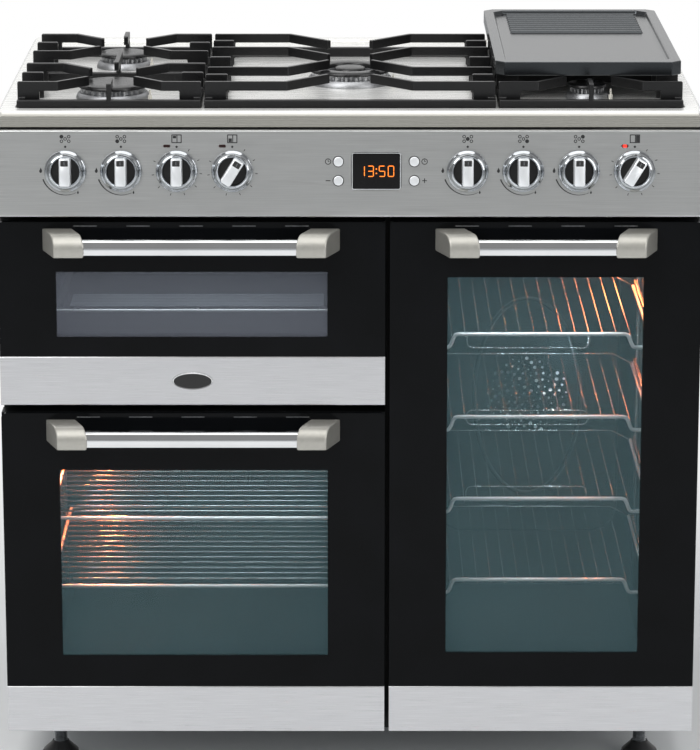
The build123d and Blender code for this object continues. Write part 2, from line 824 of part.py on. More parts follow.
# Griddle: a cast plate with a raised rim and ribs across its back half
griddle_y = face_y + griddle_front + griddle_depth / 2
griddle_floor_z = pan_z + griddle_thick - griddle_well
rib_start_y = griddle_y + griddle_depth / 2 - griddle_rim - griddle_rib_pitch
with BuildPart() as griddle:
    with BuildSketch(Plane.XY.offset(pan_z)):
        with Locations((side_support_x, griddle_y)):
            cut_rectangle(griddle_width, griddle_depth, griddle_corner)
    extrude(amount=griddle_thick)
    with BuildSketch(Plane.XY.offset(griddle_floor_z)):
        with Locations((side_support_x, griddle_y)):
            cut_rectangle(
                griddle_width - 2 * griddle_rim, griddle_depth - 2 * griddle_rim, griddle_corner
            )
    extrude(amount=griddle_well, taper=-20, mode=Mode.SUBTRACT)
    with BuildSketch(Plane.XY.offset(griddle_floor_z)):
        for rib in range(griddle_ribs):
            with Locations((side_support_x, rib_start_y - rib * griddle_rib_pitch)):
                Rectangle(griddle_width - 4 * griddle_rim, griddle_rib_width)
    extrude(amount=griddle_rib_height, taper=25)
save(griddle, "griddle")

# Control fascia: a folded cover, open at the back, with round ends and holes for the controls
back_inset = sheet / cos(fascia_angle)
slope = tan(fascia_angle) * sheet
with BuildPart() as control_fascia:
    with BuildSketch(side_plane(-half_width)):
        with BuildLine():
            Polyline(
                (frame_back_y, fascia_z),
                (fascia_low_y, fascia_z),
                (fascia_high_y, fascia_top_z),
                (frame_back_y, fascia_top_z),
                close=True,
            )
        make_face()
    extrude(amount=body_width)
    fascia_front = control_fascia.faces().sort_by(Axis.Y)[0]
    chamfer(fascia_front.edges(), fascia_round)
    with BuildSketch(side_plane(-half_width + sheet)):
        with BuildLine():
            Polyline(
                (frame_back_y, fascia_z + sheet),
                (fascia_low_y + back_inset + slope, fascia_z + sheet),
                (fascia_high_y + back_inset - slope, fascia_top_z - sheet),
                (frame_back_y, fascia_top_z - sheet),
                close=True,
            )
        make_face()
    extrude(amount=body_width - 2 * sheet, mode=Mode.SUBTRACT)
    with BuildSketch(fascia_plane(0, knob_height_up)):
        with Locations(*[(x, 0) for x in knob_places]):
            RegularPolygon(knob_stem_radius + knob_hole_play, stem_sides, major_radius=False)
        with Locations((clock_x, 0)):
            cut_rectangle(clock_width + 2 * clock_play, clock_height + 2 * clock_play, clock_corner)
            with GridLocations(2 * button_x, 2 * button_rise, 2, 2):
                RegularPolygon(button_radius + button_play, coarse_sides)
        with Locations(*[(knob_places[k] + lamp_window_dx, lamp_window_up) for k in oven_knobs]):
            Rectangle(lamp_window_width, lamp_window_height)
    extrude(amount=-3 * sheet, mode=Mode.SUBTRACT)
save(control_fascia, "control_fascia")

# Indicator lamps: small windows in the fascia with a body behind
with BuildPart() as indicator_lamps:
    for k in oven_knobs:
        plane = fascia_plane(knob_places[k] + lamp_window_dx, knob_height_up + lamp_window_up)
        with BuildSketch(plane.offset(-sheet)):
            Rectangle(lamp_window_width, lamp_window_height)
        extrude(amount=sheet + lamp_window_proud)
        with BuildSketch(plane.offset(-sheet)):
            Rectangle(1.5 * lamp_window_width, 2 * lamp_window_height)
        extrude(amount=-lamp_window_depth)
save(indicator_lamps, "indicator_lamps")

# Clock: a display window through the fascia, on a board that guides the four buttons
with BuildPart() as clock_module:
    clock_plane = fascia_plane(clock_x, knob_height_up)
    with BuildSketch(clock_plane.offset(-clock_board_set)):
        cut_rectangle(clock_width, clock_height, clock_corner)
    extrude(amount=clock_board_set + clock_proud)
    with BuildSketch(clock_plane.offset(-clock_board_set)):
        Rectangle(clock_board_width, clock_board_height)
    extrude(amount=-clock_depth)
    with BuildSketch(clock_plane.offset(-sheet)):
        Rectangle(clock_width + 4 * sheet, clock_height + 4 * sheet)
    extrude(amount=sheet - clock_board_set)
    with BuildSketch(clock_plane.offset(-clock_board_set)):
        with GridLocations(2 * button_x, 2 * button_rise, 2, 2):
            RegularPolygon(button_stem_radius + spindle_fit, stem_sides)
    extrude(amount=-2 * button_stem_length, mode=Mode.SUBTRACT)
save(clock_module, "clock_module")

# Timer buttons: a cap in the fascia and a stem in the clock board
button_names = (
    ("lower_left_button", -1, -1),
    ("upper_left_button", -1, 1),
    ("lower_right_button", 1, -1),
    ("upper_right_button", 1, 1),
)
for label, side, level in button_names:
    plane = fascia_plane(clock_x + side * button_x, knob_height_up + level * button_rise)
    with BuildPart() as timer_button:
        with BuildSketch(plane.offset(-button_skirt)):
            RegularPolygon(button_radius, coarse_sides)
        extrude(amount=button_skirt + button_proud)
        chamfer(timer_button.faces().sort_by(Axis(plane.origin, plane.z_dir))[-1].edges(), 1)
        with BuildSketch(plane.offset(-button_skirt)):
            RegularPolygon(button_stem_radius, stem_sides)
        extrude(amount=-button_stem_length)
    save(timer_button, label)


def control_knob(plane):
    """A skirted knob with a bar grip across a sunk well, on a stem with a bore for the spindle."""
    axis = Axis(plane.origin, plane.z_dir)
    cone_height = knob_lip_height - knob_skirt
    with BuildPart() as knob:
        with BuildSketch(plane.offset(knob_gap)):
            RegularPolygon(knob_radius, fine_sides)
        extrude(amount=knob_skirt - knob_gap)
        with BuildSketch(plane.offset(knob_skirt)):
            RegularPolygon(knob_radius, fine_sides)
        extrude(amount=cone_height, taper=degrees(atan2(knob_radius - knob_lip_radius, cone_height)))
        with BuildSketch(plane.offset(knob_well_floor)):
            RegularPolygon(knob_well_radius, fine_sides)
        extrude(amount=cone_height, mode=Mode.SUBTRACT)
        with BuildSketch(plane.offset(knob_well_floor)):
            RegularPolygon(knob_well_radius, fine_sides)
            Rectangle(knob_grip_width, 2 * knob_radius, mode=Mode.INTERSECT)
        extrude(amount=knob_grip_height - knob_well_floor)
        chamfer(knob.faces().sort_by(axis)[-1].edges(), knob_grip_edge)
        with BuildSketch(plane.offset(knob_gap)):
            RegularPolygon(knob_stem_radius, stem_sides)
        extrude(amount=-knob_stem_length - knob_gap)
        with BuildSketch(plane.offset(-knob_stem_length)):
            RegularPolygon(spindle_radius + spindle_fit, stem_sides, major_radius=False)
        extrude(amount=knob_stem_length + spindle_reach + 1, mode=Mode.SUBTRACT)
    return knob


for k, label in enumerate(knob_names):
    knob_plane = fascia_plane(knob_places[k], knob_height_up)
    if k in turned_knobs:
        knob_plane = Plane(knob_plane.location * Location((0, 0, 0), (0, 0, -knob_turned)))
    save(control_knob(knob_plane), label)

# Gas taps on their rail, with the spindles and the pipe to the gas inlet at the back
tap_front = -knob_stem_length - 2
rail_back = tap_front - tap_length
rail_y = fascia_plane(0, knob_height_up).offset(rail_back).origin.Y
rail_z = fascia_plane(0, knob_height_up).offset(rail_back).origin.Z
tap_gap = 2 * (knob_stem_radius + knob_hole_play)  # between the two lugs that meet the fascia
with BuildPart() as gas_manifold:
    for k in gas_knobs:
        plane = fascia_plane(knob_places[k], knob_height_up)
        with BuildSketch(plane.offset(tap_front)):
            Rectangle(tap_width, tap_width)
        extrude(amount=-tap_length)
        with BuildSketch(plane.offset(-sheet)):
            Rectangle(tap_width, tap_width)
            Rectangle(tap_gap, tap_width, mode=Mode.SUBTRACT)
        extrude(amount=tap_front + sheet)
        with BuildSketch(plane.offset(tap_front)):
            RegularPolygon(spindle_radius, stem_sides)
        extrude(amount=spindle_reach - tap_front)
    rail_start_x = knob_places[0] - tap_width / 2
    with BuildSketch(side_plane(rail_start_x)):
        with Locations((rail_y, rail_z)):
            RegularPolygon(rail_radius, stem_sides)
    extrude(amount=inlet_x - rail_start_x + rail_radius)
    inlet_start_y = rear_y - inlet_set_in - inlet_length
    with BuildSketch(front_plane(inlet_start_y)):
        with Locations((inlet_x, rail_z)):
            RegularPolygon(rail_radius, stem_sides)
    extrude(amount=inlet_start_y - rail_y)
    with BuildSketch(front_plane(rear_y - inlet_set_in)):
        with Locations((inlet_x, rail_z)):
            Circle(inlet_radius)
    extrude(amount=inlet_length)
save(gas_manifold, "gas_manifold")

# Thermostats and the grill switch, fixed behind the fascia
with BuildPart() as thermostats:
    for k in oven_knobs:
        plane = fascia_plane(knob_places[k], knob_height_up)
        with BuildSketch(plane.offset(tap_front)):
            Rectangle(thermostat_size, thermostat_size)
        extrude(amount=-thermostat_length)
        with BuildSketch(plane.offset(-sheet)):
            Rectangle(tap_width, tap_width)
            Rectangle(tap_gap, tap_width, mode=Mode.SUBTRACT)
        extrude(amount=tap_front + sheet)
        with BuildSketch(plane.offset(tap_front)):
            RegularPolygon(spindle_radius, stem_sides)
        extrude(amount=spindle_reach - tap_front)
save(thermostats, "thermostats")

# Heating elements: a bent rod under the grill roof and a ring round the fan
with BuildPart() as heating_elements:
    grill_rod_z = grill_space.top - grill_element_drop
    rod_front_y = frame_back_y + grill_element_front
    rod_back_y = rod_front_y + grill_element_length
    first_x = grill_space.middle[0] - grill_element_pitch * (grill_element_passes - 1) / 2
    rod_points = [(first_x, cavity_back_y, grill_rod_z)]
    for bend in range(grill_element_passes - 1):
        x = first_x + bend * grill_element_pitch
        turn_y = rod_front_y if bend % 2 == 0 else rod_back_y
        from_y = turn_y + grill_element_bend * (1 if bend % 2 == 0 else -1)
        rod_points += [
            (x, from_y, grill_rod_z),
            (x + grill_element_bend, turn_y, grill_rod_z),
            (x + grill_element_pitch - grill_element_bend, turn_y, grill_rod_z),
            (x + grill_element_pitch, from_y, grill_rod_z),
        ]
    last_x = first_x + (grill_element_passes - 1) * grill_element_pitch
    rod_points.append((last_x, cavity_back_y, grill_rod_z))
    with BuildLine() as rod_path:
        Polyline(*rod_points)
    with BuildSketch(front_plane(cavity_back_y)):
        with Locations((first_x, grill_rod_z)):
            RegularPolygon(element_wire / 2, 6)
    sweep(path=rod_path.wires()[0], transition=Transition.RIGHT)
    ring_y = cavity_back_y - fan_wall_gap - fan_blade_width / 2
    with BuildSketch(front_plane(ring_y)):
        with Locations((fan_x, fan_z)):
            RegularPolygon(fan_element_radius + element_wire / 2, fine_sides)
            RegularPolygon(fan_element_radius - element_wire / 2, fine_sides, mode=Mode.SUBTRACT)
    extrude(amount=element_wire)
    with BuildSketch(front_plane(cavity_back_y)):
        with Locations((fan_x - fan_element_radius, fan_z), (fan_x + fan_element_radius, fan_z)):
            RegularPolygon(element_wire / 2, 6)
    extrude(amount=cavity_back_y - ring_y)
save(heating_elements, "heating_elements")

# Fan motor behind the tall oven, with its shaft through the back wall
motor_y = cavity_back_y + sheet
with BuildPart() as fan_motor:
    with BuildSketch(front_plane(motor_y + motor_length)):
        with Locations((fan_x, fan_z)):
            RegularPolygon(motor_radius, coarse_sides)
    extrude(amount=motor_length)
    with BuildSketch(front_plane(motor_y)):
        with Locations((fan_x, fan_z)):
            RegularPolygon(fan_shaft_radius, coarse_sides)
    extrude(amount=sheet + fan_wall_gap + fan_blade_width)
save(fan_motor, "fan_motor")

# Fan wheel: flat blades on a hub
with BuildPart() as fan_wheel:
    wheel_back_y = cavity_back_y - fan_wall_gap
    with BuildSketch(front_plane(wheel_back_y)):
        with Locations((fan_x, fan_z)):
            RegularPolygon(fan_hub_radius, coarse_sides)
            with PolarLocations((fan_radius + fan_hub_radius) / 2, fan_blades):
                Rectangle(fan_radius - fan_hub_radius + sheet, fan_blade_thick)
    extrude(amount=fan_blade_width)
    with BuildSketch(front_plane(wheel_back_y)):
        with Locations((fan_x, fan_z)):
            RegularPolygon(fan_radius, fine_sides)
    extrude(amount=fan_blade_thick)
    with BuildSketch(front_plane(wheel_back_y)):
        with Locations((fan_x, fan_z)):
            RegularPolygon(fan_shaft_radius + fan_fit, coarse_sides, major_radius=False)
    extrude(amount=fan_blade_width, mode=Mode.SUBTRACT)
save(fan_wheel, "fan_wheel")

# Fan cover: a pressed plate with a field of holes, folded back to the oven's back wall
with BuildPart() as fan_cover:
    cover_y = cavity_back_y - fan_cover_gap
    with BuildSketch(front_plane(cavity_back_y)):
        with Locations((fan_x, fan_z)):
            cut_rectangle(fan_cover_width, fan_cover_height, fan_cover_corner)
    extrude(amount=fan_cover_gap)
    with BuildSketch(front_plane(cavity_back_y)):
        with Locations((fan_x, fan_z)):
            cut_rectangle(fan_cover_width - 2 * sheet, fan_cover_height - 2 * sheet, fan_cover_corner)
    extrude(amount=fan_cover_gap - sheet, mode=Mode.SUBTRACT)
    with BuildSketch(front_plane(cover_y + sheet)):
        with Locations((fan_x, fan_z)):
            RegularPolygon(fan_vent_size / 2, 6)
            for ring in range(1, fan_vent_rings + 1):
                with PolarLocations(ring * fan_vent_pitch, 6 * ring):
                    RegularPolygon(fan_vent_size / 2, 6)
    extrude(amount=sheet, mode=Mode.SUBTRACT)
save(fan_cover, "fan_cover")


def shelf_levels(space):
    """Heights of the shelves of an oven."""
    if space is main_space:
        return [space.bottom + height for height in main_shelf_heights]
    first = space.bottom + tall_shelf_first
    return [first + tall_shelf_pitch * step for step in range(tall_shelf_count)]


# Side racks: two uprights on each oven wall that carry a runner for each shelf
rack_y = frame_back_y + rack_front
uprights = (rack_y + wire, rack_y + rack_length - wire)
with BuildPart() as shelf_side_racks:
    for space in (main_space, tall_space):
        levels = shelf_levels(space)
        foot_z = levels[0] - rack_foot
        head_z = levels[-1] + rack_foot
        for wall_x, inward in ((space.left, 1), (space.right, -1)):
            with BuildSketch(Plane.XY.offset(foot_z)):
                with Locations(*[(wall_x + inward * wire / 2, y) for y in uprights]):
                    Rectangle(wire, wire)
            extrude(amount=head_z - foot_z)
            with BuildSketch(front_plane(rack_y + rack_length)):
                with Locations(*[(wall_x + inward * wire * 1.5, z - wire / 2) for z in levels]):
                    Rectangle(wire, wire)
            extrude(amount=rack_length)
save(shelf_side_racks, "shelf_side_racks")

shelf_front_y = frame_back_y + shelf_front


def wire_shelf(space, level, back_y, along, wires):
    """A welded shelf: a frame of thick wire with thin wires across it, along X or along Y."""
    left = space.left + wire + shelf_side_play
    right = space.right - wire - shelf_side_play
    middle = ((left + right) / 2, (shelf_front_y + back_y) / 2)
    inner_width = right - left - 2 * wire
    inner_depth = back_y - shelf_front_y - 2 * wire
    with BuildPart() as shelf:
        with BuildSketch(Plane.XY.offset(level)):
            with Locations(middle):
                Rectangle(right - left, back_y - shelf_front_y)
                Rectangle(inner_width, inner_depth, mode=Mode.SUBTRACT)
        extrude(amount=wire)
        with BuildSketch(Plane.XY.offset(level + (wire - fine_wire) / 2)):
            with Locations(middle):
                if along == "X":
                    with GridLocations(0, inner_depth / (wires + 1), 1, wires):
                        Rectangle(inner_width, fine_wire)
                else:
                    with GridLocations(inner_width / (wires + 1), 0, wires, 1):
                        Rectangle(fine_wire, inner_depth)
        extrude(amount=fine_wire)
    return shelf


def shelf_rail(space, level, back_y):
    """A loop of thick wire that stands on the back of a shelf and stops dishes there."""
    width = space.width - 2 * (wire + shelf_side_play)
    with BuildPart() as rail:
        with BuildSketch(front_plane(back_y)):
            with Locations((space.middle[0], level + wire + shelf_upstand / 2)):
                Rectangle(width, shelf_upstand)
                Rectangle(width - 2 * wire, shelf_upstand - 2 * wire, mode=Mode.SUBTRACT)
        extrude(amount=wire)
    return rail


# Main oven shelves: thin wires from side to side
main_shelf_back_y = shelf_front_y + main_shelf_depth
main_shelf_set = [
    wire_shelf(main_space, level, main_shelf_back_y, "X", main_shelf_wires)
    for level in shelf_levels(main_space)
]
with BuildPart() as main_oven_shelves:
    for shelf in main_shelf_set:
        add(shelf.part)
save(main_oven_shelves, "main_oven_shelves")

# Tall oven shelves: thin wires from front to back
tall_shelf_back_y = cavity_back_y - fan_cover_gap - tall_shelf_back_gap
tall_shelf_set = [
    wire_shelf(tall_space, level, tall_shelf_back_y, "Y", tall_shelf_wires)
    for level in shelf_levels(tall_space)
]
with BuildPart() as tall_oven_shelves:
    for shelf in tall_shelf_set:
        add(shelf.part)
save(tall_oven_shelves, "tall_oven_shelves")

# A raised rail on the back of each tall oven shelf
tall_rail_set = [shelf_rail(tall_space, level, tall_shelf_back_y) for level in shelf_levels(tall_space)]
with BuildPart() as tall_shelf_rails:
    for rail in tall_rail_set:
        add(rail.part)
save(tall_shelf_rails, "tall_shelf_rails")

# Grill pan: a tray whose rim hangs on the runners
with BuildPart() as grill_pan:
    pan_y = frame_back_y + pan_front + pan_length / 2
    pan_x = grill_space.middle[0]
    pan_rim_width = grill_space.width - 2 * pan_side_play
    pan_width = grill_space.width - 2 * (runner_width + pan_side_play)
    with BuildSketch(Plane.XY.offset(pan_rim_z)):
        with Locations((pan_x, pan_y)):
            cut_rectangle(pan_rim_width, pan_length, cavity_corner)
    extrude(amount=pan_wall)
    with BuildSketch(Plane.XY.offset(pan_rim_z)):
        with Locations((pan_x, pan_y)):
            cut_rectangle(pan_width, pan_length - 2 * pan_rim, pan_corner)
    extrude(amount=-pan_depth_down)
    with BuildSketch(Plane.XY.offset(pan_rim_z + pan_wall)):
        with Locations((pan_x, pan_y)):
            cut_rectangle(
                pan_width - 2 * pan_wall, pan_length - 2 * pan_rim - 2 * pan_wall, pan_corner
            )
    extrude(amount=-pan_depth_down, mode=Mode.SUBTRACT)
save(grill_pan, "grill_pan")


def door_frame(door, window, vents, side_hung):
    """Pressed steel body of a door: a channel round the window, open towards the outer glass."""
    opening = window.inset(-window_reveal, -window_reveal, -window_reveal)
    rib = opening.inset(-door_wall, -door_wall, -door_wall)
    block_height = hinge_inset + hinge_wall
    slot_depth = hinge_inset + arm_height / 2 + hinge_play
    slot_width = arm_thick + 2 * hinge_play
    with BuildPart() as frame:
        with BuildSketch(front_plane(box_back_y)):
            with Locations(door.middle):
                Rectangle(door.width, door.height)
            with Locations(opening.middle):
                Rectangle(opening.width, opening.height, mode=Mode.SUBTRACT)
        extrude(amount=door_box_depth)
        with BuildSketch(front_plane(box_front_y)):
            with Locations(door.middle):
                Rectangle(door.width - 2 * door_wall, door.height - 2 * door_wall)
            with Locations(opening.middle):
                Rectangle(rib.width, rib.height, mode=Mode.SUBTRACT)
            if side_hung:
                corners = [(door.right, door.bottom, -1, 1), (door.right, door.top, -1, -1)]
            else:
                corners = [(door.left, door.bottom, 1, 1), (door.right, door.bottom, -1, 1)]
            for x, z, right, up in corners:
                with Locations((x + right * block_height / 2, z + up * block_height / 2)):
                    Rectangle(block_height, block_height, mode=Mode.SUBTRACT)
        extrude(amount=door_wall - door_box_depth, mode=Mode.SUBTRACT)
        with BuildSketch(Plane.XY.offset(door.top)):
            with Locations((door.middle[0], (box_front_y + box_back_y) / 2)):
                with GridLocations(vent_pitch, 0, vents, 1):
                    Rectangle(vent_length, vent_width)
        extrude(amount=-door_wall, mode=Mode.SUBTRACT)
        for x, z, right, up in corners:
            with BuildSketch(front_plane(box_front_y)):
                if side_hung:
                    slot_z = z + up * (hinge_wall + slot_width / 2)
                    with Locations((x - slot_depth / 2, slot_z)):
                        Rectangle(slot_depth, slot_width)
                else:
                    slot_x = x + right * (hinge_wall + slot_width / 2)
                    with Locations((slot_x, z + slot_depth / 2)):
                        Rectangle(slot_width, slot_depth)
            extrude(amount=-door_box_depth, mode=Mode.SUBTRACT)
            if side_hung:
                with BuildSketch(Plane.XY.offset(z + up * hinge_wall)):
                    with Locations((x - hinge_inset, hinge_y)):
                        RegularPolygon(pin_radius + pin_play, coarse_sides, major_radius=False)
                extrude(amount=-up * (pin_length + pin_end_play - hinge_play), mode=Mode.SUBTRACT)
            else:
                with BuildSketch(side_plane(x + right * hinge_wall)):
                    with Locations((hinge_y, z + hinge_inset)):
                        RegularPolygon(pin_radius + pin_play, coarse_sides, major_radius=False)
                extrude(amount=-right * (pin_length + pin_end_play - hinge_play), mode=Mode.SUBTRACT)
    return frame


def door_glass(door, strip):
    """Outer pane, from the top of the door down to the steel strip, with round top corners."""
    pane = door.inset(0, strip, 0)
    with BuildPart() as glass:
        with BuildSketch(front_plane(box_front_y)):
            with Locations(pane.middle):
                Rectangle(pane.width, pane.height)
        extrude(amount=glass_thick)
        fillet(glass.edges().filter_by(Axis.Y).group_by(Axis.Z)[-1], glass_corner)
    return glass


def door_inner_glass(door):
    """Inner pane, on the oven side of the steel body."""
    pane = door.inset(inner_glass_edge, inner_glass_edge, inner_glass_edge)
    with BuildPart() as glass:
        with BuildSketch(front_plane(door_back_y)):
            with Locations(pane.middle):
                cut_rectangle(pane.width, pane.height, glass_corner)
        extrude(amount=inner_glass_thick)
    return glass


def door_trim(door, strip):
    """Steel strip along the foot of a door: a shallow channel with rolled front edges."""
    with BuildPart() as trim:
        with BuildSketch(side_plane(door.left)):
            with Locations(((face_y + box_front_y) / 2, door.bottom + strip / 2)):
                Rectangle(glass_thick, strip)
        extrude(amount=door.width)
        fillet(trim.edges().filter_by(Axis.X).group_by(Axis.Y)[0], trim_round)
        with BuildSketch(front_plane(box_front_y)):
            with Locations((door.middle[0], door.bottom + strip / 2)):
                Rectangle(door.width - 2 * sheet, strip - 2 * sheet)
        extrude(amount=glass_thick - sheet, mode=Mode.SUBTRACT)
    return trim


def door_handle(door, span):
    """A bar between two end caps that lean in towards it."""
    cap_foot = door.top - handle_drop - cap_height
    front_y = face_y - handle_reach
    middle_x = door.middle[0]
    with BuildPart() as handle:
        for side in (-1, 1):
            outer = middle_x + side * span / 2
            inner = outer - side * cap_width
            with BuildSketch(Plane.XY.offset(cap_foot)):
                with BuildLine():
                    Polyline(
                        (outer, face_y),
                        (inner, face_y),
                        (inner - side * cap_lean, front_y),
                        (outer - side * cap_lean, front_y),
                        close=True,
                    )
                make_face()
            extrude(amount=cap_height)
        front_edges = handle.edges().filter_by(Axis.X).group_by(Axis.Y)[0]
        fillet(front_edges.group_by(Axis.Z)[-1], cap_round)
        bar_half = span / 2 - cap_width / 2 - cap_lean
        with BuildSketch(side_plane(middle_x - bar_half)):
            with Locations((front_y + bar_set_back + bar_depth / 2, cap_foot + bar_rise + bar_height / 2)):
                cut_rectangle(bar_depth, bar_height, bar_edge)
        extrude(amount=2 * bar_half)
    return handle


# The three doors
grill_window = grill_door.inset(window_side, grill_window_foot, grill_window_head)
main_window = main_door.inset(window_side, window_foot, main_window_head)
tall_window = tall_door.inset(window_side, window_foot, tall_window_head)
door_set = (
    ("grill_door", grill_door, grill_window, grill_trim_height, left_handle_span, 4, False),
    ("main_door", main_door, main_window, trim_height, left_handle_span, 4, False),
    ("tall_door", tall_door, tall_window, trim_height, tall_handle_span, 3, True),
)
for label, door, window, strip, span, vents, side_hung in door_set:
    save(door_frame(door, window, vents, side_hung), f"{label}_frame")
    save(door_glass(door, strip), f"{label}_glass")
    save(door_inner_glass(door), f"{label}_inner_glass")
    save(door_trim(door, strip), f"{label}_trim")
    save(door_handle(door, span), f"{label}_handle")
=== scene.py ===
import json
import math
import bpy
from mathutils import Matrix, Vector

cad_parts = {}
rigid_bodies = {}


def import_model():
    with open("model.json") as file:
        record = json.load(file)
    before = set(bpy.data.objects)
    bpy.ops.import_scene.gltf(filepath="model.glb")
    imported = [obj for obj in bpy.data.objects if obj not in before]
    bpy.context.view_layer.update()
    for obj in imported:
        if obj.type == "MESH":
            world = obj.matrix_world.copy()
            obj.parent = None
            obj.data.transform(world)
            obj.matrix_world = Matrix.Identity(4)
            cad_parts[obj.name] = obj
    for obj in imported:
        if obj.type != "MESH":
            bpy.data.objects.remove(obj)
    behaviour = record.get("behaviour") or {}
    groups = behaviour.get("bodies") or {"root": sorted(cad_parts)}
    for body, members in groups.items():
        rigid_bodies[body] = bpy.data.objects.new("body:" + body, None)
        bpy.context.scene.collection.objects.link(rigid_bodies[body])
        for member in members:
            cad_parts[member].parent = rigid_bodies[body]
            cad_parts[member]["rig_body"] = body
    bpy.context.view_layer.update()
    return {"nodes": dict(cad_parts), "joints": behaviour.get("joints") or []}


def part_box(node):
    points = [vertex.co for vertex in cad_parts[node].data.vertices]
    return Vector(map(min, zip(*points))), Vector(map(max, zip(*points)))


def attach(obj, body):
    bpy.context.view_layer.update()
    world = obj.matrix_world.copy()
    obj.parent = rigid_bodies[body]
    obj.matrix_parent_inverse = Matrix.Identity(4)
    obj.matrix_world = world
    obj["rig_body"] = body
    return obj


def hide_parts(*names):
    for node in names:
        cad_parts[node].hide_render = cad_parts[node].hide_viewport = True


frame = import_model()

from types import SimpleNamespace

import bmesh
import bpy
from bpy.props import FloatProperty, FloatVectorProperty, IntProperty, PointerProperty
from mathutils import Matrix, Vector

bl_info = {
    "name": "Range cooker looks",
    "version": (1, 0, 0),
    "blender": (4, 5, 0),
    "location": "3D View > Sidebar > Cooker",
    "description": "Dresses a range cooker in smooth pieces and procedural materials",
    "category": "Object",
}

MM = 0.001
MATERIALS = {}

UPWARDS = Vector((0, 0, 1))
FORWARDS = Vector((0, -1, 0))
BACKWARDS = Vector((0, 1, 0))
OBLIQUE = Vector((0.31, 0.47, 0.83))  # a direction that no wire follows
CREASE = math.radians(38.0)  # edges that turn by more than this stay sharp

# Each door: how far the head and foot of its clear window lie inside it in mm, the oven behind it,
# the vents in its head, its glass, and the daylight in that oven, in watts for each square mm
DOORS = {
    "grill_door": {
        "head": 65.0, "foot": 91.0, "cavity": "grill_cavity",
        "vents": 4, "glass": "grill_window", "daylight": 7e-6,
    },
    "main_door": {
        "head": 76.0, "foot": 106.0, "cavity": "main_oven_cavity",
        "vents": 4, "glass": "window", "daylight": 5e-6,
    },
    "tall_door": {
        "head": 72.0, "foot": 110.0, "cavity": "tall_oven_cavity",
        "vents": 3, "glass": "window", "daylight": 5e-6,
    },
}
# Gas knobs, and where each one's burner lies on the hob: left or right, and far or near
GAS_KNOBS = {
    "rear_left_knob": (-1, 1),
    "front_left_knob": (-1, -1),
    "centre_knob": (0, 0),
    "front_right_knob": (1, -1),
    "rear_right_knob": (1, 1),
}
# Oven knobs, and the filled room in each one's sign: middle, width and height in mm
OVEN_KNOBS = {
    "grill_knob": (-2.6, 43.4, 4.2, 3.2),
    "main_oven_knob": (-2.6, 39.4, 4.2, 4.6),
    "tall_oven_knob": (3.3, 41.2, 4.0, 8.4),
}
# Knobs that stand turned at rest, and how far
TURNED_KNOBS = ("main_oven_knob", "tall_oven_knob")
KNOB_TURN = math.radians(-32.0)
BUTTONS = ("lower_left_button", "upper_left_button", "lower_right_button", "upper_right_button")
# Burners with a plain lid: middle in x and y, and the radius of the lid, in mm
BURNERS = {
    "front_left": (-307.5, -150.0, 45.0),
    "rear_left": (-307.5, 90.0, 34.0),
    "front_right": (307.5, -150.0, 25.0),
    "rear_right": (307.5, 90.0, 34.0),
}
# Oven lamps: the way into the oven along x, the light's distance from its wall and from the back,
# how far it lies over the top of a node, its radius, all in mm, and its glints in watts
LAMPS = {
    "main_oven_cavity": {
        "inward": 1, "reach": 56.0, "depth": 30.0, "over": "main_oven_cavity", "rise": -14.0,
        "radius": 14.0, "glints": 70.0,
    },
    "tall_oven_cavity": {
        "inward": -1, "reach": 34.0, "depth": 30.0, "over": "tall_oven_shelves", "rise": 34.0,
        "radius": 26.0, "glints": 26.0,
    },
}
LAMP_POWER = 0.8
FAN_LIGHT_POWER = 1.6
# How the front of a tall oven's shelf steps down at each end: mm from the side, and mm of fall
SHELF_STEP = ((0, 18), (24, 18), (27, 16.6), (29.5, 12), (31.5, 6), (34, 1.5), (38, 0))
# Bars of a seven-bar digit: side, height and whether the bar lies level
DIGIT_BARS = {
    "a": (0, 1, True), "b": (1, 0.5, False), "c": (1, -0.5, False), "d": (0, -1, True),
    "e": (-1, -0.5, False), "f": (-1, 0.5, False), "g": (0, 0, True),
}
DIGIT_SHAPES = {"0": "abcdef", "1": "bc", "3": "abgcd", "5": "afgcd"}
CLOCK_TIME = "1350"
# Fixed sizes in mm. Softened edges of what is dressed
EDGES = SimpleNamespace(
    sheet=0.8, tray=1.5, griddle=1.5, fascia=1.2, clock=0.8, lens=0.5, pan=0.6, rack=1.2
)
# Feet: radius of the pad and its ribs, top of the cone, radius of the stem and its thread
FEET = SimpleNamespace(
    pad=24.0, rib=0.5, cone=22.0, stem=9.0, thread_depth=1.0, thread_pitch=2.4, thread_turns=16
)
# Screws of the back: from its sides, its foot and its rims, and the distance of the middle ones
SCREWS = SimpleNamespace(side=24.0, end=30.0, rim=12.0, pitch=200.0)
# Burners: length below the hob, skirt beyond the lid, height of the skirt, radius of the wok's ring
BURNER = SimpleNamespace(spigot=18.0, overhang=3.0, skirt=9.0, wok=54.0)
# Knobs: upright rim of the skirt, and the inlay and pointer line on the bar
KNOB = SimpleNamespace(
    rim=3.2, inlay_length=7.4, inlay_rim=2.7, inlay_inset=6.2, line_width=1.3, line_length=4.6
)
# Buttons: radius, face over the fascia, length behind it, and the rows' distance from the middle
BUTTON = SimpleNamespace(radius=6.1, face=3.0, depth=5.0, rise=12.2)
# Clock: bars and places of the digits, dots of the colon, face of the window, frame and lit lens
CLOCK = SimpleNamespace(
    digit_side=3.5, digit_rise=6.6, bar=1.0, bar_gap=0.6, inner_digit=7.2, outer_digit=18.6,
    colon_rise=2.8, colon_radius=0.9, face=1.0,
    frame_width=62.0, frame_height=47.0, frame_line=0.8, frame_corner=2.8,
    lens_width=5.4, lens_height=3.2, lens_side=12.6, lens_rise=32.0,
)
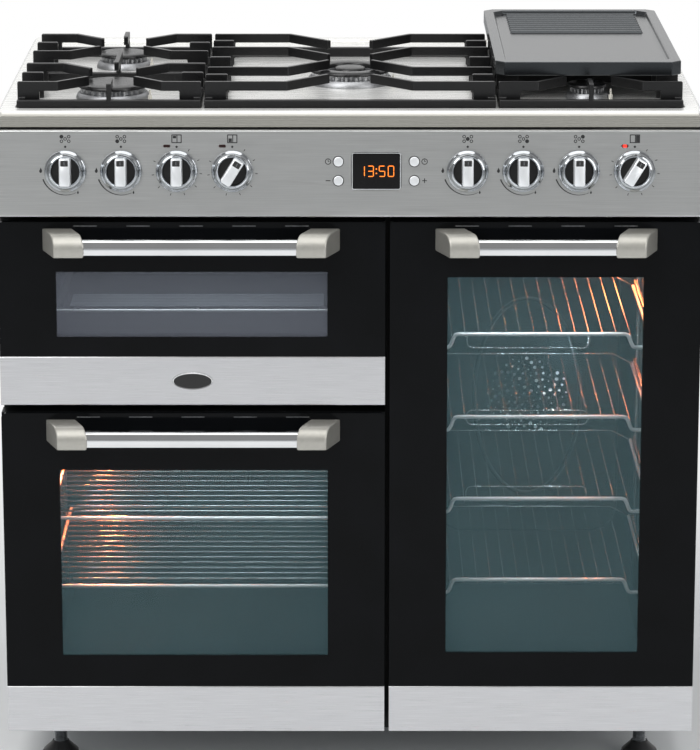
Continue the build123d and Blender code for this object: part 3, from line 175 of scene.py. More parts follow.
# Print: ink over the fascia, hob sign, dot and arc of a gas knob, oven sign and ticks, a painted
# shadow ring round each button, button signs
MARKS = SimpleNamespace(
    ink_low=0.02, ink_high=0.07,
    hob_rise=41.0, hob_side=4.6, hob_up=2.9, ring_radius=2.2, ring_line=1.0, disc_radius=2.5,
    dot_rise=31.0, dot_radius=1.5, arc_radius=30.5, arc_line=1.7,
    oven_rise=41.2, oven_width=13.0, oven_height=11.0, oven_line=1.2,
    tick_start=29.2, tick_end=32.2, tick_line=0.9,
    # The first is a painted shadow: the outer radius of a dark ring round each button
    button_gap_shadow=7.2, button_sign=13.0, sign_radius=4.0, sign_reach=3.0,
)
# Grill pan: wire on its rim, and the trivet in it
PAN = SimpleNamespace(
    wire=2.4, trivet_wire=3.0, trivet_pitch=9.0, trivet_rows=8,
    trivet_front=66.0, trivet_side=34.0, trivet_drop=8.0,
)
# Back rail of a tall shelf, oval bead of the fan cover, polished edge between two door vents
RAIL = SimpleNamespace(rise=26.0, corner=8.0)
BEAD = SimpleNamespace(side=75.0, rise=142.0, wire=6.4)
BRIDGE = SimpleNamespace(height=1.0, drop=5.0)
# Softboxes: place, aim and size in metres, and power in watts
SOFTBOXES = {
    "key_softbox": ((-2.2, -3.0, 3.2), (0, 0, 0.6), 2.4, 95),
    "fill_softbox": ((2.8, -2.6, 2.0), (0, 0, 0.5), 2.2, 45),
    "top_softbox": ((0.0, -1.1, 3.4), (0, 0, 0.9), 2.6, 42),
}


def linear(hex_code):
    """An sRGB hex colour as linear light with full alpha."""
    channels = [int(hex_code[i : i + 2], 16) / 255 for i in (1, 3, 5)]
    return (*[c / 12.92 if c <= 0.04045 else ((c + 0.055) / 1.055) ** 2.4 for c in channels], 1.0)


def length(name, description, millimetres):
    """A length setting, written in mm and kept in metres."""
    return FloatProperty(
        name=name, description=description, default=millimetres * MM,
        unit="LENGTH", subtype="DISTANCE",
    )


def hue(name, description, hex_code):
    """A colour setting, written as sRGB hex and kept as linear light."""
    return FloatVectorProperty(
        name=name, description=description, default=linear(hex_code),
        size=4, min=0.0, max=1.0, subtype="COLOR",
    )


def in_mm(settings):
    """A group of settings with its lengths in mm."""
    values = {key: getattr(settings, key) for key in type(settings).__annotations__}
    return SimpleNamespace(
        **{key: value / MM if isinstance(value, float) else value for key, value in values.items()}
    )


class FinishSettings(bpy.types.PropertyGroup):
    """Colours of the finishes that show most, each as the two ends of its pattern."""

    fascia_dark: hue("Fascia dark", "Darker lines of the ground fascia", "#bebfbe")
    fascia_light: hue("Fascia light", "Lighter lines of the ground fascia", "#cbcccb")
    strip_dark: hue("Strip dark", "Darker lines of the doors' strips", "#c2c2c4")
    strip_light: hue("Strip light", "Lighter lines of the doors' strips", "#d6d6d8")
    tray_dark: hue("Tray dark", "Darker lines of the hob tray", "#efeeea")
    tray_light: hue("Tray light", "Lighter lines of the hob tray", "#f4f3f0")
    # Painted shade: the darker grey painted on the rolled front edge of the tray
    tray_front_painted_shade: hue("Tray front", "Rolled front edge of the hob tray", "#98968f")
    nickel_dark: hue("Nickel dark", "Darker patches of the handle caps", "#aba9a2")
    nickel_light: hue("Nickel light", "Lighter patches of the handle caps", "#b2b0a9")
    casing_dark: hue("Casing dark", "Darker grain of the side panels", "#141516")
    casing_light: hue("Casing light", "Lighter grain of the side panels", "#1c1d1e")
    print_dark: hue("Print dark", "Black print behind the door glass", "#08090a")
    print_light: hue("Print light", "Smears on the black door glass", "#0b0c0e")
    tint_dark: hue("Tint dark", "Tint of the ovens' windows", "#3f5a60")
    tint_light: hue("Tint light", "Paler drifts in that tint", "#49666c")
    smoke_dark: hue("Smoke dark", "Tint of the grill's window", "#666a75")
    smoke_light: hue("Smoke light", "Paler drifts in that tint", "#6f737e")
    enamel_dark: hue("Enamel dark", "Enamel inside the ovens", "#1b2327")
    enamel_light: hue("Enamel light", "Specks in that enamel", "#232d31")
    display_dark: hue("Display dark", "Dimmer parts of the clock's digits", "#ea7522")
    display_light: hue("Display light", "Glow of the clock's digits", "#ff8026")
    lens_dark: hue("Lens dark", "Dimmer parts of the lit lens", "#d9241a")
    lens_light: hue("Lens light", "Glow of the lit lens", "#f0281c")
    lamp_dark: hue("Lamp dark", "Dimmer parts of the oven lamps", "#ea8d37")
    lamp_light: hue("Lamp light", "Glow of the oven lamps", "#ff9a3c")
    warm_light: hue("Warm light", "Light of the oven lamps", "#ff8446")
    warm_glint: hue("Warm glint", "Glints of the oven lamps on wire", "#ff7a45")
    daylight: hue("Daylight", "Daylight in the ovens", "#e2edf4")


class HobSettings(bpy.types.PropertyGroup):
    """Sizes of the burners and of the softened edges of the castings."""

    cast_edge: length("Cast edge", "Softened edge of the pan supports", 1.6)
    ports: IntProperty(name="Ports", description="Gas ports round a burner", default=24)
    port_depth: length("Port depth", "How deep a gas port cuts into the crown", 4.5)
    wok_hole: length("Wok hole", "Inner radius of the wok burner's ring", 34.0)
    wok_cap: length("Wok cap", "Radius of the wok burner's middle lid", 20.5)


class KnobSettings(bpy.types.PropertyGroup):
    """Sizes of a control knob, from the face of the fascia."""

    radius: length("Skirt radius", "Middle of the knob to the edge of its skirt", 26.5)
    gap: length("Gap", "Fascia to the underside of the skirt", 0.5)
    lip_radius: length("Lip radius", "Middle of the knob to the crest of its ring", 19.8)
    lip_height: length("Lip height", "Fascia to the crest of the dished ring", 10.0)
    well_radius: length("Well radius", "Radius of the dark well round the grip", 18.0)
    well_floor: length("Well floor", "Fascia to the floor of the well", 5.0)
    grip_width: length("Grip width", "Width of the bar that fingers hold", 15.0)
    grip_length: length("Grip length", "Length of the bar across the well", 36.0)
    grip_height: length("Grip height", "Fascia to the top of the bar", 22.0)


class OvenSettings(bpy.types.PropertyGroup):
    """Sizes of the wire shelves and of the field of holes in the fan cover."""

    frame_wire: length("Frame wire", "Thickness of a shelf's frame", 5.0)
    fine_wire: length("Fine wire", "Thickness of the wires across a shelf", 2.8)
    tall_wire: length("Tall wire", "Thickness of the wires of a tall oven's shelf", 1.9)
    main_pitch: length("Main pitch", "Distance of the main oven's shelf wires", 24.0)
    tall_pitch: length("Tall pitch", "Distance of the tall oven's shelf wires", 18.0)
    wire_corner: length("Wire corner", "Bend radius at the corners of a shelf", 14.0)
    rail_inset: length("Rail inset", "Side of a tall shelf to its back rail", 64.0)
    vent_radius: length("Vent radius", "Radius of the larger holes in the fan cover", 2.6)
    vent_field: length("Vent field", "Radius of the field of holes in the fan cover", 58.0)
    vents: IntProperty(name="Vents", description="Holes in the fan cover", default=120)


class DoorSettings(bpy.types.PropertyGroup):
    """Sizes of the door glass and of the bare plate."""

    window_side: length("Window side", "Edge of the door to its clear window", 74.0)
    window_corner: length("Window corner", "Corner radius of the clear window", 1.5)
    glass_corner: length("Glass corner", "Corner radius of the top of the glass", 6.0)
    vent_pitch: length("Vent pitch", "Distance of the vents on the head of a door", 67.5)
    bridge: length("Bridge", "Length of the polished edge between two vents", 30.0)
    plate_width: length("Plate width", "Width of the bare oval plate", 52.0)
    plate_height: length("Plate height", "Height of the bare oval plate", 23.0)


class HandleSettings(bpy.types.PropertyGroup):
    """Sizes of a door handle: two leaning end caps and a bar between them."""

    cap_width: length("Cap width", "Width of an end cap", 38.0)
    cap_lean: length("Cap lean", "How far a cap leans in towards the bar", 18.0)
    cap_round: length("Cap round", "Radius of the top front edge of a cap", 17.0)
    edge: length("Edge", "Softened edge of a cap", 1.6)
    bar_height: length("Bar height", "Height of the bar", 20.0)
    bar_depth: length("Bar depth", "Depth of the bar from front to back", 13.0)
    bar_set_back: length("Bar set back", "Front of the caps to the front of the bar", 5.0)
    bar_rise: length("Bar rise", "Underside of the caps to that of the bar", 2.0)
    bar_round: length("Bar round", "Radius of the bar's top front edge", 5.5)


class StageSettings(bpy.types.PropertyGroup):
    """Camera, floor and studio light."""

    camera_y: FloatProperty(
        name="Camera place", description="Camera's Y", default=-4.8333, unit="LENGTH"
    )
    camera_z: FloatProperty(
        name="Camera height", description="Camera's Z", default=1.7347, unit="LENGTH"
    )
    pitch: FloatProperty(
        name="Pitch", description="How far the camera looks down", default=0.236491,
        subtype="ANGLE",
    )
    lens: FloatProperty(
        name="Lens", description="Focal length in mm", default=175.59, unit="CAMERA"
    )
    shift: FloatProperty(name="Shift", description="Vertical lens shift", default=-0.08)
    floor_size: FloatProperty(
        name="Floor", description="Side of the floor", default=60.0, unit="LENGTH"
    )
    floor_dark: hue("Floor dark", "Darker drifts in the floor's paint", "#ececec")
    floor_light: hue("Floor light", "Lighter drifts in the floor's paint", "#f0f0f0")
    studio: hue("Studio", "Light of the room round the cooker", "#e8ecef")


# Materials: colours are sRGB hex or settings, and the size of a pattern's grain is in mm


def tones(*hex_codes):
    """sRGB hex colours as linear light."""
    return tuple(linear(code) for code in hex_codes)


def add_node(tree, kind, inputs=None, **settings):
    """A shader node; an input is a constant or the socket that it is linked from."""
    made = tree.nodes.new(kind)
    for key, value in settings.items():
        setattr(made, key, value)
    for key, value in (inputs or {}).items():
        if isinstance(value, bpy.types.NodeSocket):
            tree.links.new(value, made.inputs[key])
        else:
            made.inputs[key].default_value = value
    return made


def new_surface(name, colour, roughness, metallic=0.0, **constants):
    """A material with a principled shader; constants are its other sockets, spaces written as _."""
    material = bpy.data.materials.new(name)
    material.use_nodes = True
    tree = material.node_tree
    surface = tree.nodes["Principled BSDF"]
    surface.inputs["Base Color"].default_value = colour
    surface.inputs["Roughness"].default_value = roughness
    surface.inputs["Metallic"].default_value = metallic
    for key, value in constants.items():
        surface.inputs[key.replace("_", " ")].default_value = value
    return material, tree, surface


def patterned(name, shades, rough, grain, metallic=0.0, bump=None, detail=3.0, **constants):
    """A surface whose colour, gloss and relief follow one noise; grain may differ by axis."""
    material, tree, surface = new_surface(name, shades[0], rough[0], metallic, **constants)
    axes = grain if isinstance(grain, tuple) else (grain, grain, grain)
    place = add_node(tree, "ShaderNodeTexCoord")
    stretched = add_node(
        tree, "ShaderNodeMapping",
        {"Vector": place.outputs["Object"], "Scale": [1 / (axis * MM) for axis in axes]},
    )
    noise = add_node(
        tree, "ShaderNodeTexNoise",
        {"Vector": stretched.outputs["Vector"], "Scale": 1.0, "Detail": detail},
    )
    # Most of the noise lies between these two values
    spread = {"Value": noise.outputs["Fac"], "From Min": 0.3, "From Max": 0.7}
    share = add_node(tree, "ShaderNodeMapRange", spread)
    mixed = add_node(
        tree, "ShaderNodeMix",
        {"Factor": share.outputs["Result"], "A": shades[0], "B": shades[1]},
        data_type="RGBA", clamp_factor=True,
    )
    tree.links.new(mixed.outputs["Result"], surface.inputs["Base Color"])
    gloss = add_node(
        tree, "ShaderNodeMapRange", {**spread, "To Min": rough[0], "To Max": rough[1]}
    )
    tree.links.new(gloss.outputs["Result"], surface.inputs["Roughness"])
    if bump:
        strength, depth = bump
        relief = add_node(
            tree, "ShaderNodeBump",
            {"Height": noise.outputs["Fac"], "Strength": strength, "Distance": depth * MM},
        )
        tree.links.new(relief.outputs["Normal"], surface.inputs["Normal"])
    return material


def speckled(name, shades, roughness, grain, share, **constants):
    """Fired enamel: an even coat with fine lighter specks, each a share of its cell."""
    material, tree, surface = new_surface(name, shades[0], roughness, **constants)
    place = add_node(tree, "ShaderNodeTexCoord")
    cells = add_node(
        tree, "ShaderNodeTexVoronoi",
        {"Vector": place.outputs["Object"], "Scale": 1 / (grain * MM)},
    )
    # A speck is full in its middle and fades out over the rest of its share
    specks = add_node(
        tree, "ShaderNodeMapRange",
        {
            "Value": cells.outputs["Distance"], "From Min": share * 0.6, "From Max": share,
            "To Min": 1.0, "To Max": 0.0,
        },
    )
    mixed = add_node(
        tree, "ShaderNodeMix",
        {"Factor": specks.outputs["Result"], "A": shades[0], "B": shades[1]},
        data_type="RGBA", clamp_factor=True,
    )
    tree.links.new(mixed.outputs["Result"], surface.inputs["Base Color"])
    return material


def glowing(name, shades, strength, grain):
    """A lit lens or lamp glass: lighter and darker patches under an even glow."""
    return patterned(
        name, shades, (0.26, 0.34), grain,
        Emission_Color=shades[0], Emission_Strength=strength,
    )


def tray_steel(finish):
    """Pressed and brushed steel of the hob tray, with painted shade over its rolled front edge."""
    material = patterned(
        "stainless_tray_pressed_and_brushed", (finish.tray_dark, finish.tray_light),
        (0.24, 0.32), (60, 0.8, 0.8), metallic=0.5, detail=4.0,
    )
    tree = material.node_tree
    surface = tree.nodes["Principled BSDF"]
    brushed = surface.inputs["Base Color"].links[0].from_socket
    place = add_node(tree, "ShaderNodeTexCoord")
    axes = add_node(tree, "ShaderNodeSeparateXYZ", {"Vector": place.outputs["Object"]})
    front = corners("hob_tray")[0].y
    # Painted shade: the rolled front edge is mixed towards a darker grey, in place of the darker
    # reflections it shows
    rolled = add_node(
        tree, "ShaderNodeMapRange",
        {
            "Value": axes.outputs["Y"], "From Min": (front + 1) * MM, "From Max": (front + 6) * MM,
            "To Min": 1.0, "To Max": 0.0,
        },
    )
    dulled = add_node(
        tree, "ShaderNodeMix",
        {"Factor": rolled.outputs["Result"], "A": brushed, "B": finish.tray_front_painted_shade},
        data_type="RGBA", clamp_factor=True,
    )
    tree.links.new(dulled.outputs["Result"], surface.inputs["Base Color"])
    return material


def zinc_sheet():
    """Hot-dipped steel: each crystal has its own grey and its own gloss."""
    dark, light = tones("#9da0a2", "#abaeb0")
    material, tree, surface = new_surface("steel_hot_dip_zinc_coated", dark, 0.38, 1.0)
    place = add_node(tree, "ShaderNodeTexCoord")
    crystals = add_node(
        tree, "ShaderNodeTexVoronoi", {"Vector": place.outputs["Object"], "Scale": 1 / (9.0 * MM)}
    )
    drawn = add_node(tree, "ShaderNodeSeparateColor", {"Color": crystals.outputs["Color"]})
    mixed = add_node(
        tree, "ShaderNodeMix", {"Factor": drawn.outputs["Red"], "A": dark, "B": light},
        data_type="RGBA", clamp_factor=True,
    )
    tree.links.new(mixed.outputs["Result"], surface.inputs["Base Color"])
    gloss = add_node(
        tree, "ShaderNodeMapRange",
        {"Value": drawn.outputs["Green"], "To Min": 0.3, "To Max": 0.5},
    )
    tree.links.new(gloss.outputs["Result"], surface.inputs["Roughness"])
    return material


def steel_finishes(finish):
    """Sheet, cast, plated and drawn metal, by a short key."""
    made = {}
    # Ground stainless sheet: fine lines along the front and a soft drawn-out gloss. A real line is
    # about 0.1 mm wide, too fine to show, so it is drawn 0.5 mm wide
    made["fascia"] = patterned(
        "stainless_sheet_ground_lengthways", (finish.fascia_dark, finish.fascia_light),
        (0.32, 0.38), (60, 0.5, 0.5), metallic=1.0, bump=(0.06, 0.02), detail=4.0,
    )
    # The same sheet on the doors, ground brighter: paler, with more contrast between its lines
    made["strip"] = patterned(
        "stainless_strip_ground_lengthways", (finish.strip_dark, finish.strip_light),
        (0.26, 0.36), (60, 0.5, 0.5), metallic=1.0, bump=(0.06, 0.02), detail=4.0,
    )
    # Brushed tray: nearly white on top, with lines drawn 0.8 mm wide, and painted shade on its
    # rolled front edge
    made["hob"] = tray_steel(finish)
    # Cast iron under black enamel: satin, with the slight roughness of the sand mould, whose grains
    # are drawn 1.4 mm wide because real ones don't show
    made["cast"] = patterned(
        "cast_iron_black_enamelled", tones("#050506", "#0b0b0c"), (0.26, 0.40), 1.4,
        bump=(0.2, 0.06), detail=5.0,
    )
    # Cast griddle with a dark grey coat: pale at a low angle, with a faint grain
    made["griddle"] = patterned(
        "cast_iron_grey_coated", tones("#090a0b", "#111214"), (0.17, 0.27), 0.9,
        bump=(0.03, 0.02), detail=5.0, IOR=1.75, Specular_Tint=linear("#eef6fb"),
    )
    # Cast aluminium burner: bare, pale and slightly grainy
    made["burner"] = patterned(
        "cast_aluminium_bare", tones("#8f9092", "#b4b5b7"), (0.36, 0.52), 1.1,
        metallic=1.0, bump=(0.2, 0.05), detail=4.0,
    )
    # Pressed lid under black enamel: satin, with the faint waves of a fired coat
    made["cap"] = patterned(
        "steel_lid_black_enamelled", tones("#101011", "#1b1b1c"), (0.25, 0.38), 3,
        bump=(0.12, 0.05),
    )
    # Turned and plated brass: mirror bright with faint wiping marks
    made["chrome"] = patterned(
        "brass_turned_chrome_plated", tones("#dadbdc", "#e2e3e4"), (0.05, 0.09), 60, metallic=1.0
    )
    # Plated casting of the knobs: a darker mirror with hard bright and dark bands
    made["knob"] = patterned(
        "zinc_casting_bright_chrome", tones("#a9adb1", "#b5b8bb"), (0.06, 0.09), 40, metallic=1.0
    )
    # Satin plating on the grips and buttons: pale and even, with a broad soft gloss
    made["grip"] = patterned(
        "zinc_casting_satin_chrome", tones("#dfe1e3", "#e8eaec"), (0.28, 0.32), 40, metallic=0.5
    )
    # A knob's well: near black, with a low sheen
    made["well"] = patterned(
        "zinc_casting_dark_well", tones("#060606", "#0c0c0d"), (0.28, 0.38), 1.5,
        bump=(0.06, 0.03),
    )
    # Satin nickel on the handle caps: warm, pale and matte
    made["nickel"] = patterned(
        "zinc_casting_satin_nickel", (finish.nickel_dark, finish.nickel_light), (0.40, 0.46), 6,
        metallic=0.75,
    )
    # Hot-dipped steel: grey spangles a few millimetres across
    made["zinc"] = zinc_sheet()
    # Drawn steel wire, chrome plated: dark between narrow glints
    made["wire"] = patterned(
        "steel_wire_chrome_plated", tones("#9aa2a2", "#a6aeae"), (0.13, 0.16), 90, metallic=0.9
    )
    # The same plating dulled by heat: paler, with wider glints
    made["soft_wire"] = patterned(
        "steel_wire_chrome_dulled", tones("#d3d9d9", "#dfe4e4"), (0.2, 0.24), 90, metallic=0.9
    )
    # Thick bent wire of the shelf frames: satin plating that shows pale all round
    made["rail"] = patterned(
        "steel_wire_satin_chrome", tones("#e4e8e8", "#eef1f1"), (0.34, 0.4), 90, metallic=0.45
    )
    # Tube of the elements: brown and black patches left by heat
    made["element"] = patterned(
        "steel_tube_heat_blackened", tones("#2a2624", "#4a4038"), (0.45, 0.65), 12,
        metallic=0.8, bump=(0.1, 0.04),
    )
    # Bare pressed steel: plain mid grey with a soft gloss
    made["motor"] = patterned(
        "steel_pressed_bare", tones("#77797b", "#95979a"), (0.32, 0.45), 5, metallic=1.0
    )
    # Forged brass of the gas fittings: dull yellow with a slight unevenness
    made["brass"] = patterned(
        "brass_forged_bare", tones("#8d7340", "#b39554"), (0.28, 0.42), 4,
        metallic=1.0, bump=(0.08, 0.05),
    )
    return made


def coated_finishes(finish):
    """Glass, enamel, ceramic, plastic, print and what is lit, by a short key."""
    made = {}
    # Toughened glass printed black on its inside: deep gloss with faint smears
    made["black_glass"] = patterned(
        "glass_toughened_black_printed", (finish.print_dark, finish.print_light), (0.03, 0.08), 70,
        Specular_IOR_Level=0.08,
    )
    # Tinted toughened glass of the oven windows: grey-green and half clear
    made["window"] = patterned(
        "glass_toughened_grey_tinted", (finish.tint_dark, finish.tint_light), (0.02, 0.06), 260,
        Specular_IOR_Level=0.15, Alpha=0.25,
    )
    # Tinted toughened glass of the grill window: smoke grey, with a cold cast
    made["grill_window"] = patterned(
        "glass_toughened_smoke_tinted", (finish.smoke_dark, finish.smoke_light), (0.02, 0.06), 260,
        Specular_IOR_Level=0.15, Alpha=0.27,
    )
    # Clear float glass inside the doors: seen only by its faint gloss
    made["pane"] = patterned(
        "glass_float_clear", tones("#b9c8c6", "#c4d2d0"), (0.02, 0.05), 80,
        Specular_IOR_Level=0.15, Alpha=0.04,
    )
    # Vitreous enamel of the ovens: dark and dull with fine pale specks
    made["oven"] = speckled(
        "steel_vitreous_enamelled_speckled", (finish.enamel_dark, finish.enamel_light), 0.45, 1.6,
        0.2, Specular_IOR_Level=0.1,
    )
    # Vitreous enamel of the grill pan: a lighter grey that catches the daylight
    made["pan"] = speckled(
        "steel_vitreous_enamelled_grey", tones("#4d5256", "#585d61"), 0.4, 1.6, 0.2
    )
    # Black enamel of the doors and the front frame: even and nearly matte
    made["door"] = patterned(
        "steel_pressed_black_enamelled", tones("#101112", "#18191a"), (0.34, 0.42), 18,
        Specular_IOR_Level=0.1,
    )
    # Stove enamel of the sides: black with the fine orange peel of a sprayed coat
    made["side"] = patterned(
        "steel_folded_black_stove_enamelled", (finish.casing_dark, finish.casing_light),
        (0.34, 0.46), 2.4, bump=(0.22, 0.06), detail=2.0,
    )
    # Glazed ceramic of the electrodes: off-white and glossy
    made["ceramic"] = patterned(
        "ceramic_pressed_glazed", tones("#d8d4c8", "#e9e6dc"), (0.18, 0.3), 4
    )
    # Braided glass fibre of the seals: dark, matte and coarse
    made["seal"] = patterned(
        "glass_fibre_rope_braided", tones("#2c2c2b", "#444342"), (0.75, 0.9), 1.2,
        bump=(0.6, 0.3), detail=2.0,
    )
    # Moulded plastic: black with a fine matte grain, drawn 0.8 mm wide so that it shows
    made["plastic"] = patterned(
        "plastic_moulded_black_grained", tones("#131314", "#1d1d1e"), (0.42, 0.55), 0.8,
        bump=(0.15, 0.04),
    )
    # Smoked acrylic of the clock: black and glossy, with faint wiping marks
    made["clock"] = patterned(
        "acrylic_moulded_smoked", tones("#060607", "#0a0a0b"), (0.05, 0.1), 40
    )
    # Red acrylic of the lenses that are off: nearly black, with a red cast
    made["lens"] = patterned(
        "acrylic_moulded_red", tones("#1d0d0c", "#2a1110"), (0.15, 0.25), 2
    )
    # Baked black print: matte, with grains drawn 0.4 mm wide so that they show. It also draws the
    # painted shadow ring round each button
    made["ink"] = patterned(
        "screen_print_black_baked_and_painted_shadow", tones("#141415", "#1f1f20"), (0.5, 0.65), 0.4
    )
    # The lit lens: red, brighter than anything round it
    made["lit_lens"] = glowing(
        "acrylic_moulded_red_lit", (finish.lens_light, finish.lens_dark), 2.2, 3
    )
    # The clock's digits: an even orange glow
    made["digits"] = glowing(
        "fluorescent_display_orange_lit", (finish.display_light, finish.display_dark), 1.1, 3
    )
    # The oven lamps' glass: warm and bright, a little uneven
    made["lamp"] = glowing(
        "glass_lamp_cover_lit_warm", (finish.lamp_light, finish.lamp_dark), 2.0, 12
    )
    return made


# Meshes: shapes are added to a mesh in mm, then the mesh becomes a piece


def corners(node):
    """Lowest and highest corner of a CAD node, in mm."""
    low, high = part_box(node)
    return low / MM, high / MM


def lathe(mesh, place, profile, sides=64, finish=0, notch=None):
    """Turn a profile of (radius, height) about the place's Z axis; notch dents each radius."""
    rings = []
    for index, (radius, height) in enumerate(profile):
        count = sides if radius > 0.001 else 1
        ring = []
        for step in range(count):
            angle = 2 * math.pi * step / sides
            reach = radius - (notch(index, step) if notch else 0.0)
            point = Vector((reach * math.cos(angle), reach * math.sin(angle), height))
            ring.append(mesh.verts.new(place @ (point * MM)))
        rings.append(ring)
    for lower, upper in zip(rings, rings[1:]):
        for step in range(sides):
            after = (step + 1) % sides
            around = [lower[step % len(lower)], lower[after % len(lower)]]
            around += [upper[after % len(upper)], upper[step % len(upper)]]
            face = mesh.faces.new(list(dict.fromkeys(around)))
            face.material_index = finish


def join_rings(mesh, lower, upper, finish):
    """Close the band between two rings of as many points."""
    for step in range(len(lower)):
        after = (step + 1) % len(lower)
        face = mesh.faces.new((lower[step], lower[after], upper[after], upper[step]))
        face.material_index = finish


def loft(mesh, place, sections, finish=0, capped=True):
    """Join outlines of as many points, each a list of points in mm, with closed or open ends."""
    rings = []
    for section in sections:
        rings.append([mesh.verts.new(place @ (Vector(point) * MM)) for point in section])
    for lower, upper in zip(rings, rings[1:]):
        join_rings(mesh, lower, upper, finish)
    if capped:
        for end in (rings[0], rings[-1]):
            mesh.faces.new(end).material_index = finish


def rounded(width, height, radius, steps=6, middle=(0.0, 0.0)):
    """Outline of a rectangle with round corners; radius is one number or one for each corner."""
    radii = radius if isinstance(radius, tuple) else (radius,) * 4
    signs = ((1, 1), (-1, 1), (-1, -1), (1, -1))
    outline = []
    for turn, ((sx, sy), r) in enumerate(zip(signs, radii)):
        for step in range(steps + 1):
            angle = math.pi / 2 * (turn + step / steps)
            x = sx * (width / 2 - r) + r * math.cos(angle)
            y = sy * (height / 2 - r) + r * math.sin(angle)
            outline.append((middle[0] + x, middle[1] + y))
    return outline


def oval(half_width, half_height, sides, middle=(0.0, 0.0)):
    """Outline of an oval."""
    x, y = middle
    angles = [2 * math.pi * step / sides for step in range(sides)]
    return [(x + half_width * math.cos(a), y + half_height * math.sin(a)) for a in angles]


def circle(radius, sides=16, middle=(0.0, 0.0)):
    """Outline of a round hole or disc."""
    return oval(radius, radius, sides, middle)


def at_level(outline, level):
    """A flat outline as points at one height."""
    return [(x, y, level) for x, y in outline]


def plate(mesh, place, outlines, low, high, finish=0):
    """A flat plate between two heights, with its outline first and any holes after it."""
    normal = place.to_3x3() @ UPWARDS
    levels = []
    for height in (low, high):
        loops = []
        edges = []
        for outline in outlines:
            loop = [mesh.verts.new(place @ (Vector((x, y, height)) * MM)) for x, y in outline]
            edges += [mesh.edges.new((loop[i - 1], loop[i])) for i in range(len(loop))]
            loops.append(loop)
        filled = bmesh.ops.triangle_fill(mesh, use_beauty=True, edges=edges, normal=normal)
        for part in filled["geom"]:
            if isinstance(part, bmesh.types.BMFace):
                part.material_index = finish
        levels.append(loops)
    for lower, upper in zip(*levels):
        join_rings(mesh, lower, upper, finish)


def wire(mesh, path, radius, closed=False, finish=0, sides=12):
    """A round wire along points in mm."""
    points = [Vector(point) for point in path]
    rings = []
    for i, point in enumerate(points):
        before = points[i - 1] if i > 0 or closed else point
        after = points[(i + 1) % len(points)] if i < len(points) - 1 or closed else point
        ahead = (after - before).normalized()
        side = ahead.cross(OBLIQUE).normalized()
        other = ahead.cross(side)
        ring = []
        for step in range(sides):
            angle = 2 * math.pi * step / sides
            offset = side * math.cos(angle) + other * math.sin(angle)
            ring.append(mesh.verts.new((point + offset * radius) * MM))
        rings.append(ring)
    for lower, upper in zip(rings, rings[1:]):
        join_rings(mesh, lower, upper, finish)
    if closed:
        join_rings(mesh, rings[-1], rings[0], finish)
    else:
        for end in (rings[0], rings[-1]):
            mesh.faces.new(end).material_index = finish


def make_piece(name, mesh, body, finishes, replaces=()):
    """Turn a mesh into a piece that rides on a body, with its materials given by their keys."""
    bmesh.ops.recalc_face_normals(mesh, faces=mesh.faces)
    data = bpy.data.meshes.new(name)
    mesh.to_mesh(data)
    mesh.free()
    for finish in finishes:
        data.materials.append(MATERIALS[finish])
    data.shade_smooth()
    data.set_sharp_from_angle(angle=CREASE)
    piece = bpy.data.objects.new(name, data)
    bpy.context.scene.collection.objects.link(piece)
    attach(piece, body)
    if replaces:
        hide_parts(*replaces)
    return piece


def soften(piece, width, degrees):
    """Round a piece's edges that turn by more than an angle, by a width in mm."""
    bevel = piece.modifiers.new("soft_edges", "BEVEL")
    bevel.width = width * MM
    bevel.segments = 3
    bevel.limit_method = "ANGLE"
    bevel.angle_limit = math.radians(degrees)
    return bevel


def dress(finish, *nodes, edge=0.0):
    """Give CAD nodes a material by its key, and softened edges where edge is more than 0 mm."""
    for name in nodes:
        node = frame["nodes"][name]
        node.data.materials.clear()
        node.data.materials.append(MATERIALS[finish])
        if edge > 0:
            # The faces of a CAD node are split along their edges, so they are joined first
            weld = node.modifiers.new("joined_corners", "WELD")
            weld.merge_threshold = 0.00001
            soften(node, edge, 30.0).harden_normals = True


def body_of(node):
    """Name of the body that a CAD node rides on."""
    return frame["nodes"][node]["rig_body"]


def joint_named(name):
    """A joint of the frame by its name."""
    return next(joint for joint in frame["joints"] if joint["name"] == name)


def on_axis(origin, up, normal):
    """A place in metres whose Y is up and whose Z is the normal."""
    across = up.cross(normal)
    turn = Matrix((across, up, normal)).transposed().to_4x4()
    return Matrix.Translation(origin) @ turn


def knob_place(knob):
    """The place of a knob on the fascia: X to the right, Y up the slope, Z out of it."""
    joint = joint_named(knob + "_turn")
    normal = Vector(joint["axis"]).normalized()
    up = normal.cross(Vector((1, 0, 0))).normalized()
    return on_axis(Vector(joint["pos_m"]), up, normal)


def flat(x=0.0, y=0.0):
    """An upright place at a point in mm."""
    return Matrix.Translation(Vector((x, y, 0.0)) * MM)


def facing_front(y):
    """A place across the front at depth y in mm: X to the right, Y upwards, Z to the front."""
    return on_axis(Vector((0, y, 0)) * MM, UPWARDS, FORWARDS)


class MaterialsOperator(bpy.types.Operator):
    """Make every material of the cooker"""

    bl_idname = "cooker.materials"
    bl_label = "Materials"

    def execute(self, context):
        finish = context.scene.cooker_finish
        MATERIALS.update(steel_finishes(finish))
        MATERIALS.update(coated_finishes(finish))
        return {"FINISHED"}


